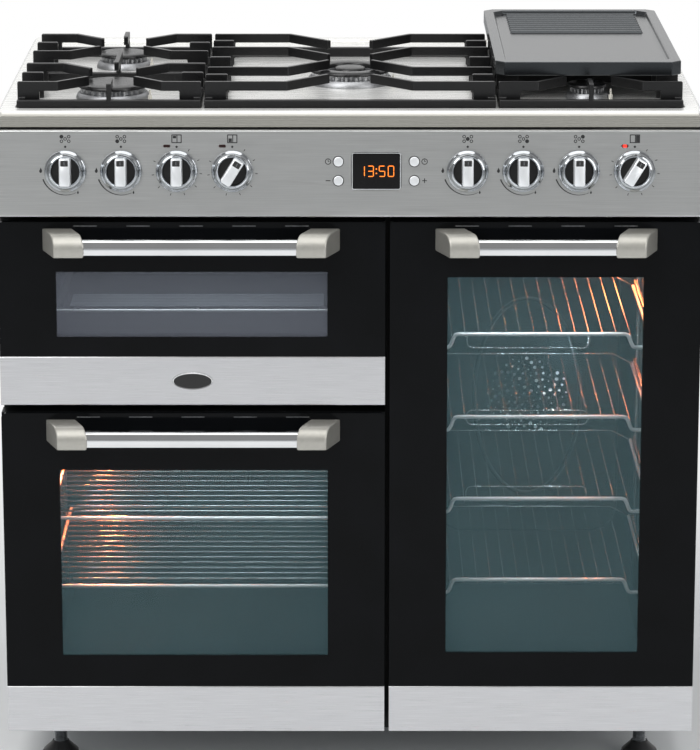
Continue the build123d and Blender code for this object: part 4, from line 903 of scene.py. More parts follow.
class CasingOperator(bpy.types.Operator):
    """Dress the casing: sides, base, back, feet, front frame and what is fixed behind"""

    bl_idname = "cooker.casing"
    bl_label = "Casing"

    def execute(self, context):
        dress("side", "side_panels", edge=EDGES.sheet)
        dress("zinc", "base_pan", "rear_panel")
        dress("door", "front_frame")
        dress("seal", "door_seals")
        dress("plastic", "terminal_box", "thermostats", edge=EDGES.sheet)
        dress("brass", "gas_manifold")
        dress("motor", "fan_motor")
        dress("grip", "fan_wheel")
        self.make_feet()
        self.make_screws()
        return {"FINISHED"}

    def make_feet(self):
        """Four turned feet: a ribbed plastic pad, a cone and a threaded steel stem."""
        low, high = corners("feet")
        pad, stem, neck = FEET.pad, FEET.stem, FEET.cone
        cone = [(0, 0), (pad - 2, 0), (pad, 2), (pad, 8), (pad - 1.5, 10)]
        cone += [(stem + 3, neck - 2), (stem + 2, neck), (stem, neck)]
        thread = [(stem, neck)]
        for turn in range(FEET.thread_turns):
            root = neck + 1 + turn * FEET.thread_pitch
            thread += [(stem - FEET.thread_depth, root), (stem, root + FEET.thread_pitch / 2)]
        thread += [(stem - 0.5, high.z), (0, high.z)]

        def ribs(index, step):
            """Shallow grooves in the upright rim of the pad."""
            return FEET.rib if index in (2, 3) and step % 2 else 0.0

        mesh = bmesh.new()
        for x in (low.x + pad, high.x - pad):
            for y in (low.y + pad, high.y - pad):
                lathe(mesh, flat(x, y), cone, 48, 0, ribs)
                lathe(mesh, flat(x, y), thread, 32, 1)
        finishes = ("plastic", "motor")
        make_piece("feet_turned", mesh, "cooker", finishes, ("feet",))

    def make_screws(self):
        """Pan-head screws along the edges of the back, with the upper corners left free."""
        low, high = corners("rear_panel")
        sides = (low.x + SCREWS.side, high.x - SCREWS.side)
        places = [(x, z) for x in sides for z in (low.z + SCREWS.end, (low.z + high.z) / 2)]
        rims = (low.z + SCREWS.rim, high.z - SCREWS.rim)
        places += [(x, z) for x in (-SCREWS.pitch, 0.0, SCREWS.pitch) for z in rims]
        # A rounded head with a sunk cross, drawn as a round dimple
        head = [(3.6, 0), (3.6, 0.5), (3.0, 1.4), (1.6, 1.8), (1.0, 1.8), (0.8, 1.1), (0, 1.1)]
        mesh = bmesh.new()
        for x, z in places:
            lathe(mesh, on_axis(Vector((x, high.y, z)) * MM, UPWARDS, BACKWARDS), head, 20)
        make_piece("rear_screws", mesh, "cooker", ("motor",))


class HobOperator(bpy.types.Operator):
    """Dress the hob: tray, pan supports, griddle, burners and spark electrodes"""

    bl_idname = "cooker.hob"
    bl_label = "Hob"

    def execute(self, context):
        sizes = in_mm(context.scene.cooker_hob)
        dress("hob", "hob_tray", edge=EDGES.tray)
        dress("ceramic", "spark_electrodes")
        supports = ("left_pan_support", "centre_pan_support", "right_pan_support")
        dress("cast", *supports, edge=sizes.cast_edge)
        dress("griddle", "griddle", edge=EDGES.griddle)
        self.make_burners(sizes)
        return {"FINISHED"}

    def make_burners(self, sizes):
        """Turned burner heads with gas ports, and the enamelled lids on them."""
        floor = corners("burner_heads")[0].z + BURNER.spigot
        lid_low, lid_high = corners("burner_caps")
        crown, top = lid_low.z, lid_high.z
        shoulder = floor + BURNER.skirt
        sides = 4 * sizes.ports

        def ports(index, step):
            """Dents of the gas ports in the wall of the crown."""
            return sizes.port_depth if index in (5, 6) and step % 4 < 2 else 0.0

        def head(radius):
            """Profile of a burner from its foot to the rim of its crown."""
            foot, wall = radius + BURNER.overhang, radius - BURNER.overhang
            skirt = [(0, floor), (foot, floor), (foot, floor + 2), (foot - 2, shoulder - 2)]
            skirt += [(radius - 1, shoulder)]
            return skirt + [(wall, shoulder + 0.2), (wall, crown - 0.4), (wall - 2, crown)]

        def lid(radius, seat):
            """Profile of a lid from its underside to its rounded top edge."""
            under = [(0, crown), (radius - seat, crown), (radius, crown + 1)]
            return under + [(radius, top - 2), (radius - 1, top - 0.7), (radius - 3, top)]

        heads = bmesh.new()
        lids = bmesh.new()
        dish = top - 0.3
        for x, y, radius in BURNERS.values():
            lathe(heads, flat(x, y), head(radius) + [(0, crown)], sides, 0, ports)
            lathe(lids, flat(x, y), lid(radius, 4) + [(radius * 0.5, dish), (0, dish)], 72)
        low, high = corners("centre_pan_support")
        centre = flat((low.x + high.x) / 2, (low.y + high.y) / 2)
        outer, hole, middle = BURNER.wok, sizes.wok_hole, sizes.wok_cap
        well = [(hole + 1, crown), (hole, crown - 1), (hole, shoulder), (0, shoulder)]
        lathe(heads, centre, head(outer) + well, sides, 0, ports)
        stem, base = middle - BURNER.overhang, shoulder - 1
        lathe(heads, centre, [(0, base), (stem, base), (stem, crown), (0, crown)], 48)
        ring = [(hole, crown)] + lid(outer, 4)[1:]
        ring += [(hole + 2.5, top), (hole + 0.6, top - 0.7), (hole, top - 2), (hole, crown)]
        lathe(lids, centre, ring, 96)
        lathe(lids, centre, lid(middle, 3) + [(0, dish)], 64)
        make_piece(
            "burner_heads_turned", heads, "cooker", ("burner",), ("burner_heads",)
        )
        make_piece("burner_lids", lids, "cooker", ("cap",), ("burner_caps",))


class ControlsOperator(bpy.types.Operator):
    """Dress the fascia: knobs, buttons, clock, lamps and the printed marks"""

    bl_idname = "cooker.controls"
    bl_label = "Controls"

    def execute(self, context):
        sizes = in_mm(context.scene.cooker_knob)
        dress("fascia", "control_fascia", edge=EDGES.fascia)
        dress("clock", "clock_module", edge=EDGES.clock)
        dress("lens", "indicator_lamps", edge=EDGES.lens)
        for knob in (*GAS_KNOBS, *OVEN_KNOBS):
            self.make_knob(knob, sizes)
        for button in BUTTONS:
            self.make_button(button)
        self.make_digits()
        self.make_clock_frame()
        self.make_lit_lens()
        self.make_marks()
        return {"FINISHED"}

    def make_knob(self, knob, sizes):
        """A plated skirt with a dished ring, a dark well and a bar grip with a pointer line."""
        place = knob_place(knob)
        if knob in TURNED_KNOBS:
            place = place @ Matrix.Rotation(KNOB_TURN, 4, "Z")
        edge, gap, rim = sizes.radius, sizes.gap, KNOB.rim
        lip, height = sizes.lip_radius, sizes.lip_height
        well, floor = sizes.well_radius, sizes.well_floor
        mesh = bmesh.new()
        brink = (well + 0.1, height - 1.4)
        skirt = [(0, gap), (edge - 0.6, gap), (edge, gap + 0.6), (edge, rim)]
        skirt += [(edge - 0.4, rim + 0.7), (edge - 1.5, rim + 1.3), (edge - 3.5, rim + 3.0)]
        ring = [(lip + 1.4, height - 0.5), (lip, height), (lip - 0.8, height - 0.3), brink]
        lathe(mesh, place, skirt + ring, 96, 0)
        lathe(mesh, place, [brink, (well, floor + 0.8), (well - 0.8, floor), (0, floor)], 96, 1)
        top, width, span = sizes.grip_height, sizes.grip_width, sizes.grip_length
        # Heights of the bar's outlines, with how much narrower each is and its corner radius
        steps = ((floor, 0.0, 3.0), (top - 5, 0.6, 3.0), (top - 1.6, 1.2, 2.8))
        steps += ((top - 0.4, 2.2, 2.4), (top, 4.2, 1.6))
        sections = []
        for level, trim, corner in steps:
            sections.append(at_level(rounded(width - trim, span - 0.4 * trim, corner, 5), level))
        loft(mesh, place, sections, 3)
        spot = (0, span / 2 - KNOB.inlay_inset)
        inlay = rounded(width - 2 * KNOB.inlay_rim, KNOB.inlay_length, 0.8, 3, spot)
        plate(mesh, place, [inlay], top - 0.4, top + 0.06, 2)
        line = rounded(KNOB.line_width, KNOB.line_length, 0.5, 3, spot)
        plate(mesh, place, [line], top - 0.4, top + 0.12, 0)
        finishes = ("knob", "well", "ink", "grip")
        make_piece(knob + "_turned", mesh, body_of(knob), finishes, (knob,))

    def button_place(self, button):
        """The place of a button on the face of the fascia."""
        low, high = corners(button)
        place = knob_place("centre_knob")
        side = (low.x + high.x) / 2 - place.translation.x / MM
        rise = BUTTON.rise if button.startswith("upper") else -BUTTON.rise
        return place @ flat(side, rise)

    def make_button(self, button):
        """A small turned button with a flat face."""
        radius, face, back = BUTTON.radius, BUTTON.face, -BUTTON.depth
        profile = [(0, back), (radius - 0.5, back), (radius, back + 0.4), (radius, face - 0.7)]
        profile += [(radius - 0.3, face - 0.2), (radius - 0.8, face), (0, face - 0.1)]
        mesh = bmesh.new()
        lathe(mesh, self.button_place(button), profile, 48)
        make_piece(
            button + "_turned", mesh, body_of(button), ("grip",), (button,)
        )

    def clock_place(self):
        """The middle of the clock window on the face of the fascia."""
        middle = (corners("lower_left_button")[0].x + corners("lower_right_button")[1].x) / 2
        place = knob_place("centre_knob")
        return place @ flat(middle - place.translation.x / MM)

    def make_digits(self):
        """Seven-bar digits of a clock, lit in orange, on the window's face."""
        place = self.clock_place()
        mesh = bmesh.new()
        low, high = CLOCK.face, CLOCK.face + 0.06
        middles = (-CLOCK.outer_digit, -CLOCK.inner_digit, CLOCK.inner_digit, CLOCK.outer_digit)
        for digit, x in zip(CLOCK_TIME, middles):
            for bar in DIGIT_SHAPES[digit]:
                side, rise, level = DIGIT_BARS[bar]
                reach = (2 * CLOCK.digit_side if level else CLOCK.digit_rise) - CLOCK.bar_gap
                size = (reach, CLOCK.bar) if level else (CLOCK.bar, reach)
                spot = (x + side * CLOCK.digit_side, rise * CLOCK.digit_rise)
                plate(mesh, place, [rounded(*size, CLOCK.bar / 2, 2, spot)], low, high)
        for rise in (-CLOCK.colon_rise, CLOCK.colon_rise):
            plate(mesh, place, [circle(CLOCK.colon_radius, 12, (0.0, rise))], low, high)
        make_piece("clock_digits", mesh, "cooker", ("digits",))

    def make_clock_frame(self):
        """A thin bright frame round the clock's window."""
        mesh = bmesh.new()
        width, height, line = CLOCK.frame_width, CLOCK.frame_height, CLOCK.frame_line
        outlines = [rounded(width, height, CLOCK.frame_corner, 4)]
        inner = (width - 2 * line, height - 2 * line, CLOCK.frame_corner - line)
        outlines.append(rounded(*inner, 4))
        plate(mesh, self.clock_place(), outlines, CLOCK.face - 0.4, CLOCK.face + 0.12)
        make_piece("clock_frame", mesh, "cooker", ("grip",))

    def make_lit_lens(self):
        """The tall oven's indicator lens, lit red, over its dark body."""
        mesh = bmesh.new()
        place = knob_place("tall_oven_knob") @ flat(-CLOCK.lens_side, CLOCK.lens_rise)
        sections = []
        for level, trim in ((0.2, 0.0), (0.75, 0.0), (0.95, 0.7)):
            outline = rounded(CLOCK.lens_width - trim, CLOCK.lens_height - trim, 1.1, 4)
            sections.append(at_level(outline, level))
        loft(mesh, place, sections)
        make_piece("lit_lens", mesh, "cooker", ("lit_lens",))

    def make_marks(self):
        """Printed marks: a sign over each knob, a scale round it, signs by the buttons and a
        painted shadow ring round each button.
        """
        mesh = bmesh.new()

        def patch(place, *outlines):
            """A printed patch, with its outline first and any hole after it."""
            plate(mesh, place, outlines, MARKS.ink_low, MARKS.ink_high)

        def stroke(place, start, end, width):
            """A straight printed line between two points."""
            start, end = Vector(start), Vector(end)
            along = end - start
            side = Vector((-along.y, along.x)).normalized() * width / 2
            patch(place, (start + side, start - side, end - side, end + side))

        def ring(place, x, y, radius, width):
            """A printed ring."""
            patch(place, circle(radius, 20, (x, y)), circle(radius - width, 20, (x, y)))

        def flame(place, x, y, size):
            """A printed flame."""
            shape = ((0, 1), (0.35, 0.35), (0.55, -0.2), (0.35, -0.75), (0, -0.95), (-0.35, -0.75))
            shape += ((-0.55, -0.2), (-0.3, 0.2))
            patch(place, [(x + size * px, y + size * py) for px, py in shape])

        def polar(radius, degrees):
            """A point round a knob."""
            angle = math.radians(degrees)
            return radius * math.cos(angle), radius * math.sin(angle)

        dot = circle(MARKS.dot_radius, 16, (0, MARKS.dot_rise))
        for knob, own in GAS_KNOBS.items():
            place = knob_place(knob)
            for across, up in GAS_KNOBS.values():
                x, y = MARKS.hob_side * across, MARKS.hob_rise + MARKS.hob_up * up
                if (across, up) == own:
                    patch(place, circle(MARKS.disc_radius, 16, (x, y)))
                else:
                    ring(place, x, y, MARKS.ring_radius, MARKS.ring_line)
            patch(place, dot)
            flame(place, -31.5, 1.0, 3.6)
            flame(place, 15.5, -27.0, 2.2)
            # The arc runs from the large flame to the small one and grows thinner
            for step in range(24):
                start = polar(MARKS.arc_radius, 200 + 4 * step)
                end = polar(MARKS.arc_radius, 204 + 4 * step)
                stroke(place, start, end, MARKS.arc_line - 0.055 * step)
        for knob, room in OVEN_KNOBS.items():
            place = knob_place(knob)
            middle = (0, MARKS.oven_rise)
            wide, tall, line = MARKS.oven_width, MARKS.oven_height, 2 * MARKS.oven_line
            inner = rounded(wide - line, tall - line, 0.3, 2, middle)
            patch(place, rounded(wide, tall, 0.6, 2, middle), inner)
            stroke(place, (0.6, MARKS.oven_rise - 4.6), (0.6, MARKS.oven_rise + 4.6), 1.1)
            patch(place, rounded(*room[2:], 0.3, 2, room[:2]))
            patch(place, dot)
            for step in range(9):
                angle = 60 - 33 * step
                ends = polar(MARKS.tick_start, angle), polar(MARKS.tick_end, angle)
                stroke(place, *ends, MARKS.tick_line)
        for button in BUTTONS:
            place = self.button_place(button)
            away = -1 if "left" in button else 1
            x = MARKS.button_sign * away
            # Painted shadow: the dark gap round the button, drawn as an ink ring
            ring(place, 0, 0, MARKS.button_gap_shadow, 0.9)
            if button.startswith("upper"):
                ring(place, x, 0, MARKS.sign_radius, 1.0)
                stroke(place, (x, 0), (x, 2.6), 0.8)
                stroke(place, (x, 0), (x + 1.7, 0), 0.8)
            else:
                reach = MARKS.sign_reach
                stroke(place, (x - reach, 0), (x + reach, 0), 1.1)
                if away > 0:
                    stroke(place, (x, -reach), (x, reach), 1.1)
        make_piece("fascia_marks", mesh, "cooker", ("ink",))


class OvensOperator(bpy.types.Operator):
    """Dress the ovens: linings, shelves, racks, grill pan, elements, fan cover and lamps"""

    bl_idname = "cooker.ovens"
    bl_label = "Ovens"

    def execute(self, context):
        sizes = in_mm(context.scene.cooker_oven)
        finish = context.scene.cooker_finish
        dress("oven", "grill_cavity", "main_oven_cavity", "tall_oven_cavity")
        dress("pan", "grill_pan", edge=EDGES.pan)
        dress("element", "heating_elements")
        dress("soft_wire", "shelf_side_racks", edge=EDGES.rack)
        self.make_pan_rail()
        self.make_main_shelves(sizes)
        self.make_tall_shelves(sizes)
        self.make_fan_cover(sizes, finish)
        self.make_lamps(finish)
        for door in DOORS.values():
            self.make_daylight(door["cavity"], door["daylight"], finish)
        return {"FINISHED"}

    def make_daylight(self, cavity, share, finish):
        """The daylight that falls into an oven from the front, as a soft strip under its roof."""
        low, high = corners(cavity)
        light = bpy.data.lights.new(cavity + "_daylight", "AREA")
        light.shape = "RECTANGLE"
        light.size = (high.x - low.x) * 0.8 * MM
        light.size_y = 30 * MM
        light.energy = (high.x - low.x) * (high.z - low.z) * share
        light.color = finish.daylight[:3]
        strip = bpy.data.objects.new(cavity + "_daylight", light)
        behind_door, under_roof = low.y + 24, high.z - 12
        strip.location = Vector(((low.x + high.x) / 2, behind_door, under_roof)) * MM
        strip.rotation_euler = (math.radians(35), 0, 0)
        strip.visible_camera = False
        bpy.context.scene.collection.objects.link(strip)

    def make_pan_rail(self):
        """A bright wire along the grill pan's front rim, and a small trivet that stands in it."""
        low, high = corners("grill_pan")
        thin, thick = PAN.wire / 2, PAN.trivet_wire / 2
        y, z = low.y + thin + 1, high.z + thin
        # The ends of the wire dip into the rim: mm from the side, and mm of fall
        dip = ((14, 4), (18, 1), (24, 0))
        path = [(low.x + x, y, z - fall) for x, fall in dip]
        path += [(high.x - x, y, z - fall) for x, fall in reversed(dip)]
        mesh = bmesh.new()
        wire(mesh, path, thin, finish=1)
        front, deck = low.y + PAN.trivet_front, high.z - PAN.trivet_drop
        left, right = low.x + PAN.trivet_side, high.x - PAN.trivet_side
        for row in range(PAN.trivet_rows):
            y = front + row * PAN.trivet_pitch
            wire(mesh, [(left, y, deck), (right, y, deck)], thick)
        under, foot = deck - 2.4, low.z + 1.8
        for x in (left + 6, (low.x + high.x) / 2, right - 6):
            wire(mesh, [(x, front - 6, under), (x, front + 70, under)], thin)
            for y in (front - 2, front + 66):
                wire(mesh, [(x, y, under), (x, y, foot)], thin)
        make_piece("grill_pan_rail", mesh, "cooker", ("pan", "rail"))

    def levels(self, node, pieces, thickness):
        """Heights of the middle of evenly spaced shelves in a node."""
        low, high = corners(node)
        step = (high.z - low.z - thickness) / (pieces - 1)
        return [low.z + thickness / 2 + step * i for i in range(pieces)]

    def make_main_shelves(self, sizes):
        """Two shelves in the main oven: a bent frame with fine wires from side to side."""
        low, high = corners("main_oven_shelves")
        thick, fine = sizes.frame_wire / 2, sizes.fine_wire / 2
        width, depth = high.x - low.x - 2 * thick, high.y - low.y - 2 * thick
        middle = ((low.x + high.x) / 2, (low.y + high.y) / 2)
        outline = rounded(width, depth, sizes.wire_corner, 5, middle)
        count = int((depth - 12) / sizes.main_pitch)
        mesh = bmesh.new()
        for level in self.levels("main_oven_shelves", 2, sizes.frame_wire):
            wire(mesh, at_level(outline, level), thick, closed=True, finish=1)
            rise = level + thick - fine
            for i in range(count):
                y = middle[1] + (i - (count - 1) / 2) * sizes.main_pitch
                wire(mesh, [(low.x + thick, y, rise), (high.x - thick, y, rise)], fine)
        make_piece(
            "main_oven_wire_shelves", mesh, "cooker", ("wire", "rail"),
            ("main_oven_shelves",),
        )

    def make_tall_shelves(self, sizes):
        """Four shelves in the tall oven: a frame that steps down, fine wires and a back rail."""
        low, high = corners("tall_oven_shelves")
        rail_low, rail_high = corners("tall_shelf_rails")
        thick, fine = sizes.frame_wire / 2, sizes.tall_wire / 2
        left, right = low.x + thick, high.x - thick
        front, back = low.y + thick, high.y - thick
        middle = (low.x + high.x) / 2
        count = int((high.x - low.x - 2 * thick - 24) / sizes.tall_pitch)
        rail_left, rail_right = rail_low.x + sizes.rail_inset, rail_high.x - sizes.rail_inset
        rail_middle, rail_y = (rail_left + rail_right) / 2, (rail_low.y + rail_high.y) / 2
        rail_rise = RAIL.rise - sizes.frame_wire
        shelves = bmesh.new()
        rails = bmesh.new()
        for level in self.levels("tall_oven_shelves", 4, sizes.frame_wire):
            foot = level - SHELF_STEP[0][1]
            path = [(left, back, foot)]
            path += [(left + x, front, level - fall) for x, fall in SHELF_STEP]
            path += [(right - x, front, level - fall) for x, fall in reversed(SHELF_STEP)]
            path.append((right, back, foot))
            wire(shelves, path, thick, finish=1)
            rise = level - thick - fine
            rear = [(left, back, foot), (low.x + 30, back, rise), (high.x - 30, back, rise)]
            wire(shelves, rear + [(right, back, foot)], fine)
            for i in range(count):
                x = middle + (i - (count - 1) / 2) * sizes.tall_pitch
                wire(shelves, [(x, front, rise), (x, back, rise)], fine)
            spot = (rail_middle, level + sizes.frame_wire + rail_rise / 2)
            loop = rounded(rail_right - rail_left, rail_rise, RAIL.corner, 5, spot)
            wire(rails, [(x, rail_y, z) for x, z in loop], fine, closed=True)
        finishes = ("soft_wire", "rail")
        make_piece(
            "tall_oven_wire_shelves", shelves, "cooker", finishes,
            ("tall_oven_shelves",),
        )
        make_piece(
            "tall_oven_wire_rails", rails, "cooker", finishes, ("tall_shelf_rails",)
        )

    def make_fan_cover(self, sizes, finish):
        """A pressed cover with a round field of small holes in front of the fan."""
        low, high = corners("fan_cover")
        fan = Vector(joint_named("fan_spin")["pos_m"]) / MM
        place = facing_front(high.y)
        middle = ((low.x + high.x) / 2, (low.z + high.z) / 2)
        wide, tall, depth = high.x - low.x, high.z - low.z, high.y - low.y
        holes = []
        golden = math.pi * (3 - math.sqrt(5))
        for step in range(1, sizes.vents):
            reach = sizes.vent_field * math.sqrt(step / sizes.vents)
            turn = golden * step
            spot = (fan.x + reach * math.cos(turn), fan.z + reach * math.sin(turn))
            holes.append(circle(sizes.vent_radius * (1.0 - 0.3 * (step % 3)), 12, spot))
        # Outlines from the wall to the face: how much smaller each is, its corner radius and height
        steps = ((0, 40, 0), (0, 40, depth - 4), (2, 39, depth - 1.5), (8, 36, depth))
        rims = []
        for trim, corner, level in steps:
            rims.append(at_level(rounded(wide - trim, tall - trim, corner, 8, middle), level))
        face = [(x, y) for x, y, level in rims[-1]]
        mesh = bmesh.new()
        plate(mesh, place, [face] + holes, depth - 1.5, depth)
        loft(mesh, place, rims, capped=False)
        bead = oval(BEAD.side, BEAD.rise, 72, middle)
        wire(mesh, [(x, low.y + 0.6, z) for x, z in bead], BEAD.wire / 2, closed=True)
        make_piece("fan_cover_pressed", mesh, "cooker", ("oven",), ("fan_cover",))
        spot = Vector((fan.x + 52, low.y + 6, fan.z + 66))
        self.add_point("fan_light", spot, finish.daylight, FAN_LIGHT_POWER, 14.0)

    def add_point(self, name, spot, colour, power, radius):
        """A small round light at a point in mm."""
        light = bpy.data.lights.new(name, "POINT")
        light.energy = power
        light.color = colour[:3]
        light.shadow_soft_size = radius * MM
        lamp = bpy.data.objects.new(name, light)
        lamp.location = spot * MM
        bpy.context.scene.collection.objects.link(lamp)
        return lamp

    def make_lamps(self, finish):
        """A domed glass lamp cover in a collar on each oven wall, and its light."""
        mesh = bmesh.new()
        dome = [(20, 2.5), (19, 6), (16, 10), (10, 13), (0, 14)]
        collar = [(0, 0), (20, 0), (20, 2.5), (19, 3)]
        socket = [(0, -20), (11, -20), (11, 0)]
        # The glints fall on the wires alone, so that the linings and open doors stay dark
        wires = bpy.data.collections.new("lit_wires")
        for name in ("main_oven_wire_shelves", "tall_oven_wire_shelves", "tall_oven_wire_rails"):
            wires.objects.link(bpy.data.objects[name])
        wires.objects.link(frame["nodes"]["shelf_side_racks"])
        for cavity, lamp in LAMPS.items():
            low, high = corners(cavity)
            inward = lamp["inward"]
            wall = low.x + 2 if inward > 0 else high.x - 2
            cover = Vector((wall, low.y + 120.0, high.z - 72.0))
            place = on_axis(cover * MM, UPWARDS, Vector((inward, 0, 0)))
            lathe(mesh, place, collar, 40, 1)
            lathe(mesh, place, dome, 40, 0)
            lathe(mesh, place, socket, 24, 2)
            height = corners(lamp["over"])[1].z + lamp["rise"]
            spot = Vector((wall + inward * lamp["reach"], high.y - lamp["depth"], height))
            radius = lamp["radius"]
            self.add_point(cavity + "_lamp_light", spot, finish.warm_light, LAMP_POWER, radius)
            glints = self.add_point(
                cavity + "_lamp_glints", spot, finish.warm_glint, lamp["glints"], radius
            )
            glints.visible_diffuse = False
            glints.light_linking.receiver_collection = wires
        finishes = ("lamp", "motor", "ceramic")
        make_piece("oven_lamp_covers", mesh, "cooker", finishes, ("oven_lamps",))


class DoorsOperator(bpy.types.Operator):
    """Dress the doors: bodies, glass with a clear window, steel strips and handles"""

    bl_idname = "cooker.doors"
    bl_label = "Doors"

    def execute(self, context):
        sizes = in_mm(context.scene.cooker_door)
        handle = in_mm(context.scene.cooker_handle)
        for door, window in DOORS.items():
            dress("door", door + "_frame", edge=EDGES.sheet)
            dress("pane", door + "_inner_glass")
            dress("strip", door + "_trim", edge=EDGES.sheet)
            self.make_glass(door, window, sizes)
            self.make_handle_caps(door + "_handle", handle)
            self.make_handle_bar(door + "_handle", handle)
            self.make_bridges(door, window["vents"], sizes)
        self.make_plate(sizes)
        return {"FINISHED"}

    def make_bridges(self, door, vents, sizes):
        """Thin polished edges at the head of a door's glass, between the vents."""
        low, high = corners(door + "_glass")
        place = facing_front(low.y)
        middle = (low.x + high.x) / 2
        mesh = bmesh.new()
        for step in range(vents + 1):
            spot = (middle + sizes.vent_pitch * (step - vents / 2), high.z - BRIDGE.drop)
            outline = rounded(sizes.bridge, BRIDGE.height, 0.4, 3, spot)
            plate(mesh, place, [outline], -0.3, 0.15)
        make_piece(
            door + "_vent_edges", mesh, body_of(door + "_frame"), ("motor",)
        )

    def make_glass(self, door, window, sizes):
        """The outer glass: a printed black border with a clear tinted window in it."""
        node = door + "_glass"
        low, high = corners(node)
        place = facing_front(high.y)
        wide, tall, thick = high.x - low.x, high.z - low.z, high.y - low.y
        middle = ((low.x + high.x) / 2, (low.z + high.z) / 2)
        corner = sizes.glass_corner
        border = rounded(wide, tall, (corner, corner, 0.5, 0.5), 6, middle)
        bottom = corners(door + "_trim")[0].z + window["foot"]
        top = high.z - window["head"]
        spot = (middle[0], (bottom + top) / 2)
        pane = rounded(wide - 2 * sizes.window_side, top - bottom, sizes.window_corner, 6, spot)
        mesh = bmesh.new()
        plate(mesh, place, [border, pane], 0.0, thick, 0)
        plate(mesh, place, [pane], 0.4, thick, 1)
        finishes = ("black_glass", window["glass"])
        make_piece(node + "_printed", mesh, body_of(node), finishes, (node,))

    def make_handle_caps(self, node, sizes):
        """Two leaning end caps with a rounded top edge."""
        low, high = corners(node)
        bend = sizes.cap_round
        side = [(high.y, low.z), (low.y + 3, low.z), (low.y + 0.9, low.z + 0.9), (low.y, low.z + 3)]
        for step in range(9):
            angle = math.pi / 2 * step / 8
            y = low.y + bend * (1 - math.cos(angle))
            side.append((y, high.z - bend * (1 - math.sin(angle))))
        side.append((high.y, high.z))
        mesh = bmesh.new()
        for start, inward in ((low.x, 1), (high.x, -1)):
            sections = []
            for across in (0.0, sizes.cap_width):
                section = []
                for y, z in side:
                    slant = sizes.cap_lean * (high.y - y) / (high.y - low.y)
                    section.append((start + inward * (across + slant), y, z))
                sections.append(section)
            loft(mesh, Matrix.Identity(4), sections)
        piece = make_piece(
            node + "_caps", mesh, body_of(node), ("nickel",), (node,)
        )
        soften(piece, sizes.edge, 50.0)

    def make_handle_bar(self, node, sizes):
        """A polished bar between the caps: flat below, with a ledge and a rounded top."""
        low, high = corners(node)
        front = low.y + sizes.bar_set_back
        back = front + sizes.bar_depth
        foot = low.z + sizes.bar_rise
        head = foot + sizes.bar_height
        ledge = (foot + head) / 2 + 1.6
        bend = sizes.bar_round
        outline = [(back, foot), (front + 3.0, foot), (front + 0.9, foot + 0.7)]
        outline += [(front, foot + 2.6), (front, ledge), (front + 0.4, ledge + 1.2)]
        # The top starts 1.6 mm behind the front and turns from 28 degrees up to level
        for step in range(8):
            angle = math.radians(28 + 62 * step / 7)
            y = front + 1.6 + bend * (0.883 - math.cos(angle))
            outline.append((y, head - bend * (1 - math.sin(angle))))
        outline.append((back, head))
        inset = sizes.cap_width / 2 + sizes.cap_lean
        mesh = bmesh.new()
        ends = (low.x + inset, high.x - inset)
        loft(mesh, Matrix.Identity(4), [[(x, y, z) for y, z in outline] for x in ends])
        make_piece(node + "_bar", mesh, body_of(node), ("chrome",))

    def make_plate(self, sizes):
        """A bare oval plate with a bright rim on the grill door's strip."""
        low, high = corners("grill_door_trim")
        place = facing_front(low.y)
        middle = ((low.x + high.x) / 2, (low.z + high.z) / 2)
        wide, tall = sizes.plate_width / 2, sizes.plate_height / 2
        # Heights of the rim's outlines, with how far each is drawn in
        steps = ((0, 0), (0.9, 0), (1.4, 0.5), (1.2, 1.6), (0.5, 1.9))
        rim = []
        for level, trim in steps:
            rim.append(at_level(oval(wide - trim, tall - trim, 64, middle), level))
        field = [(x, y) for x, y, level in rim[-1]]
        mesh = bmesh.new()
        loft(mesh, place, rim, 0)
        plate(mesh, place, [field], 0.3, 0.7, 1)
        make_piece("blank_plate", mesh, "grill_door", ("chrome", "clock"))


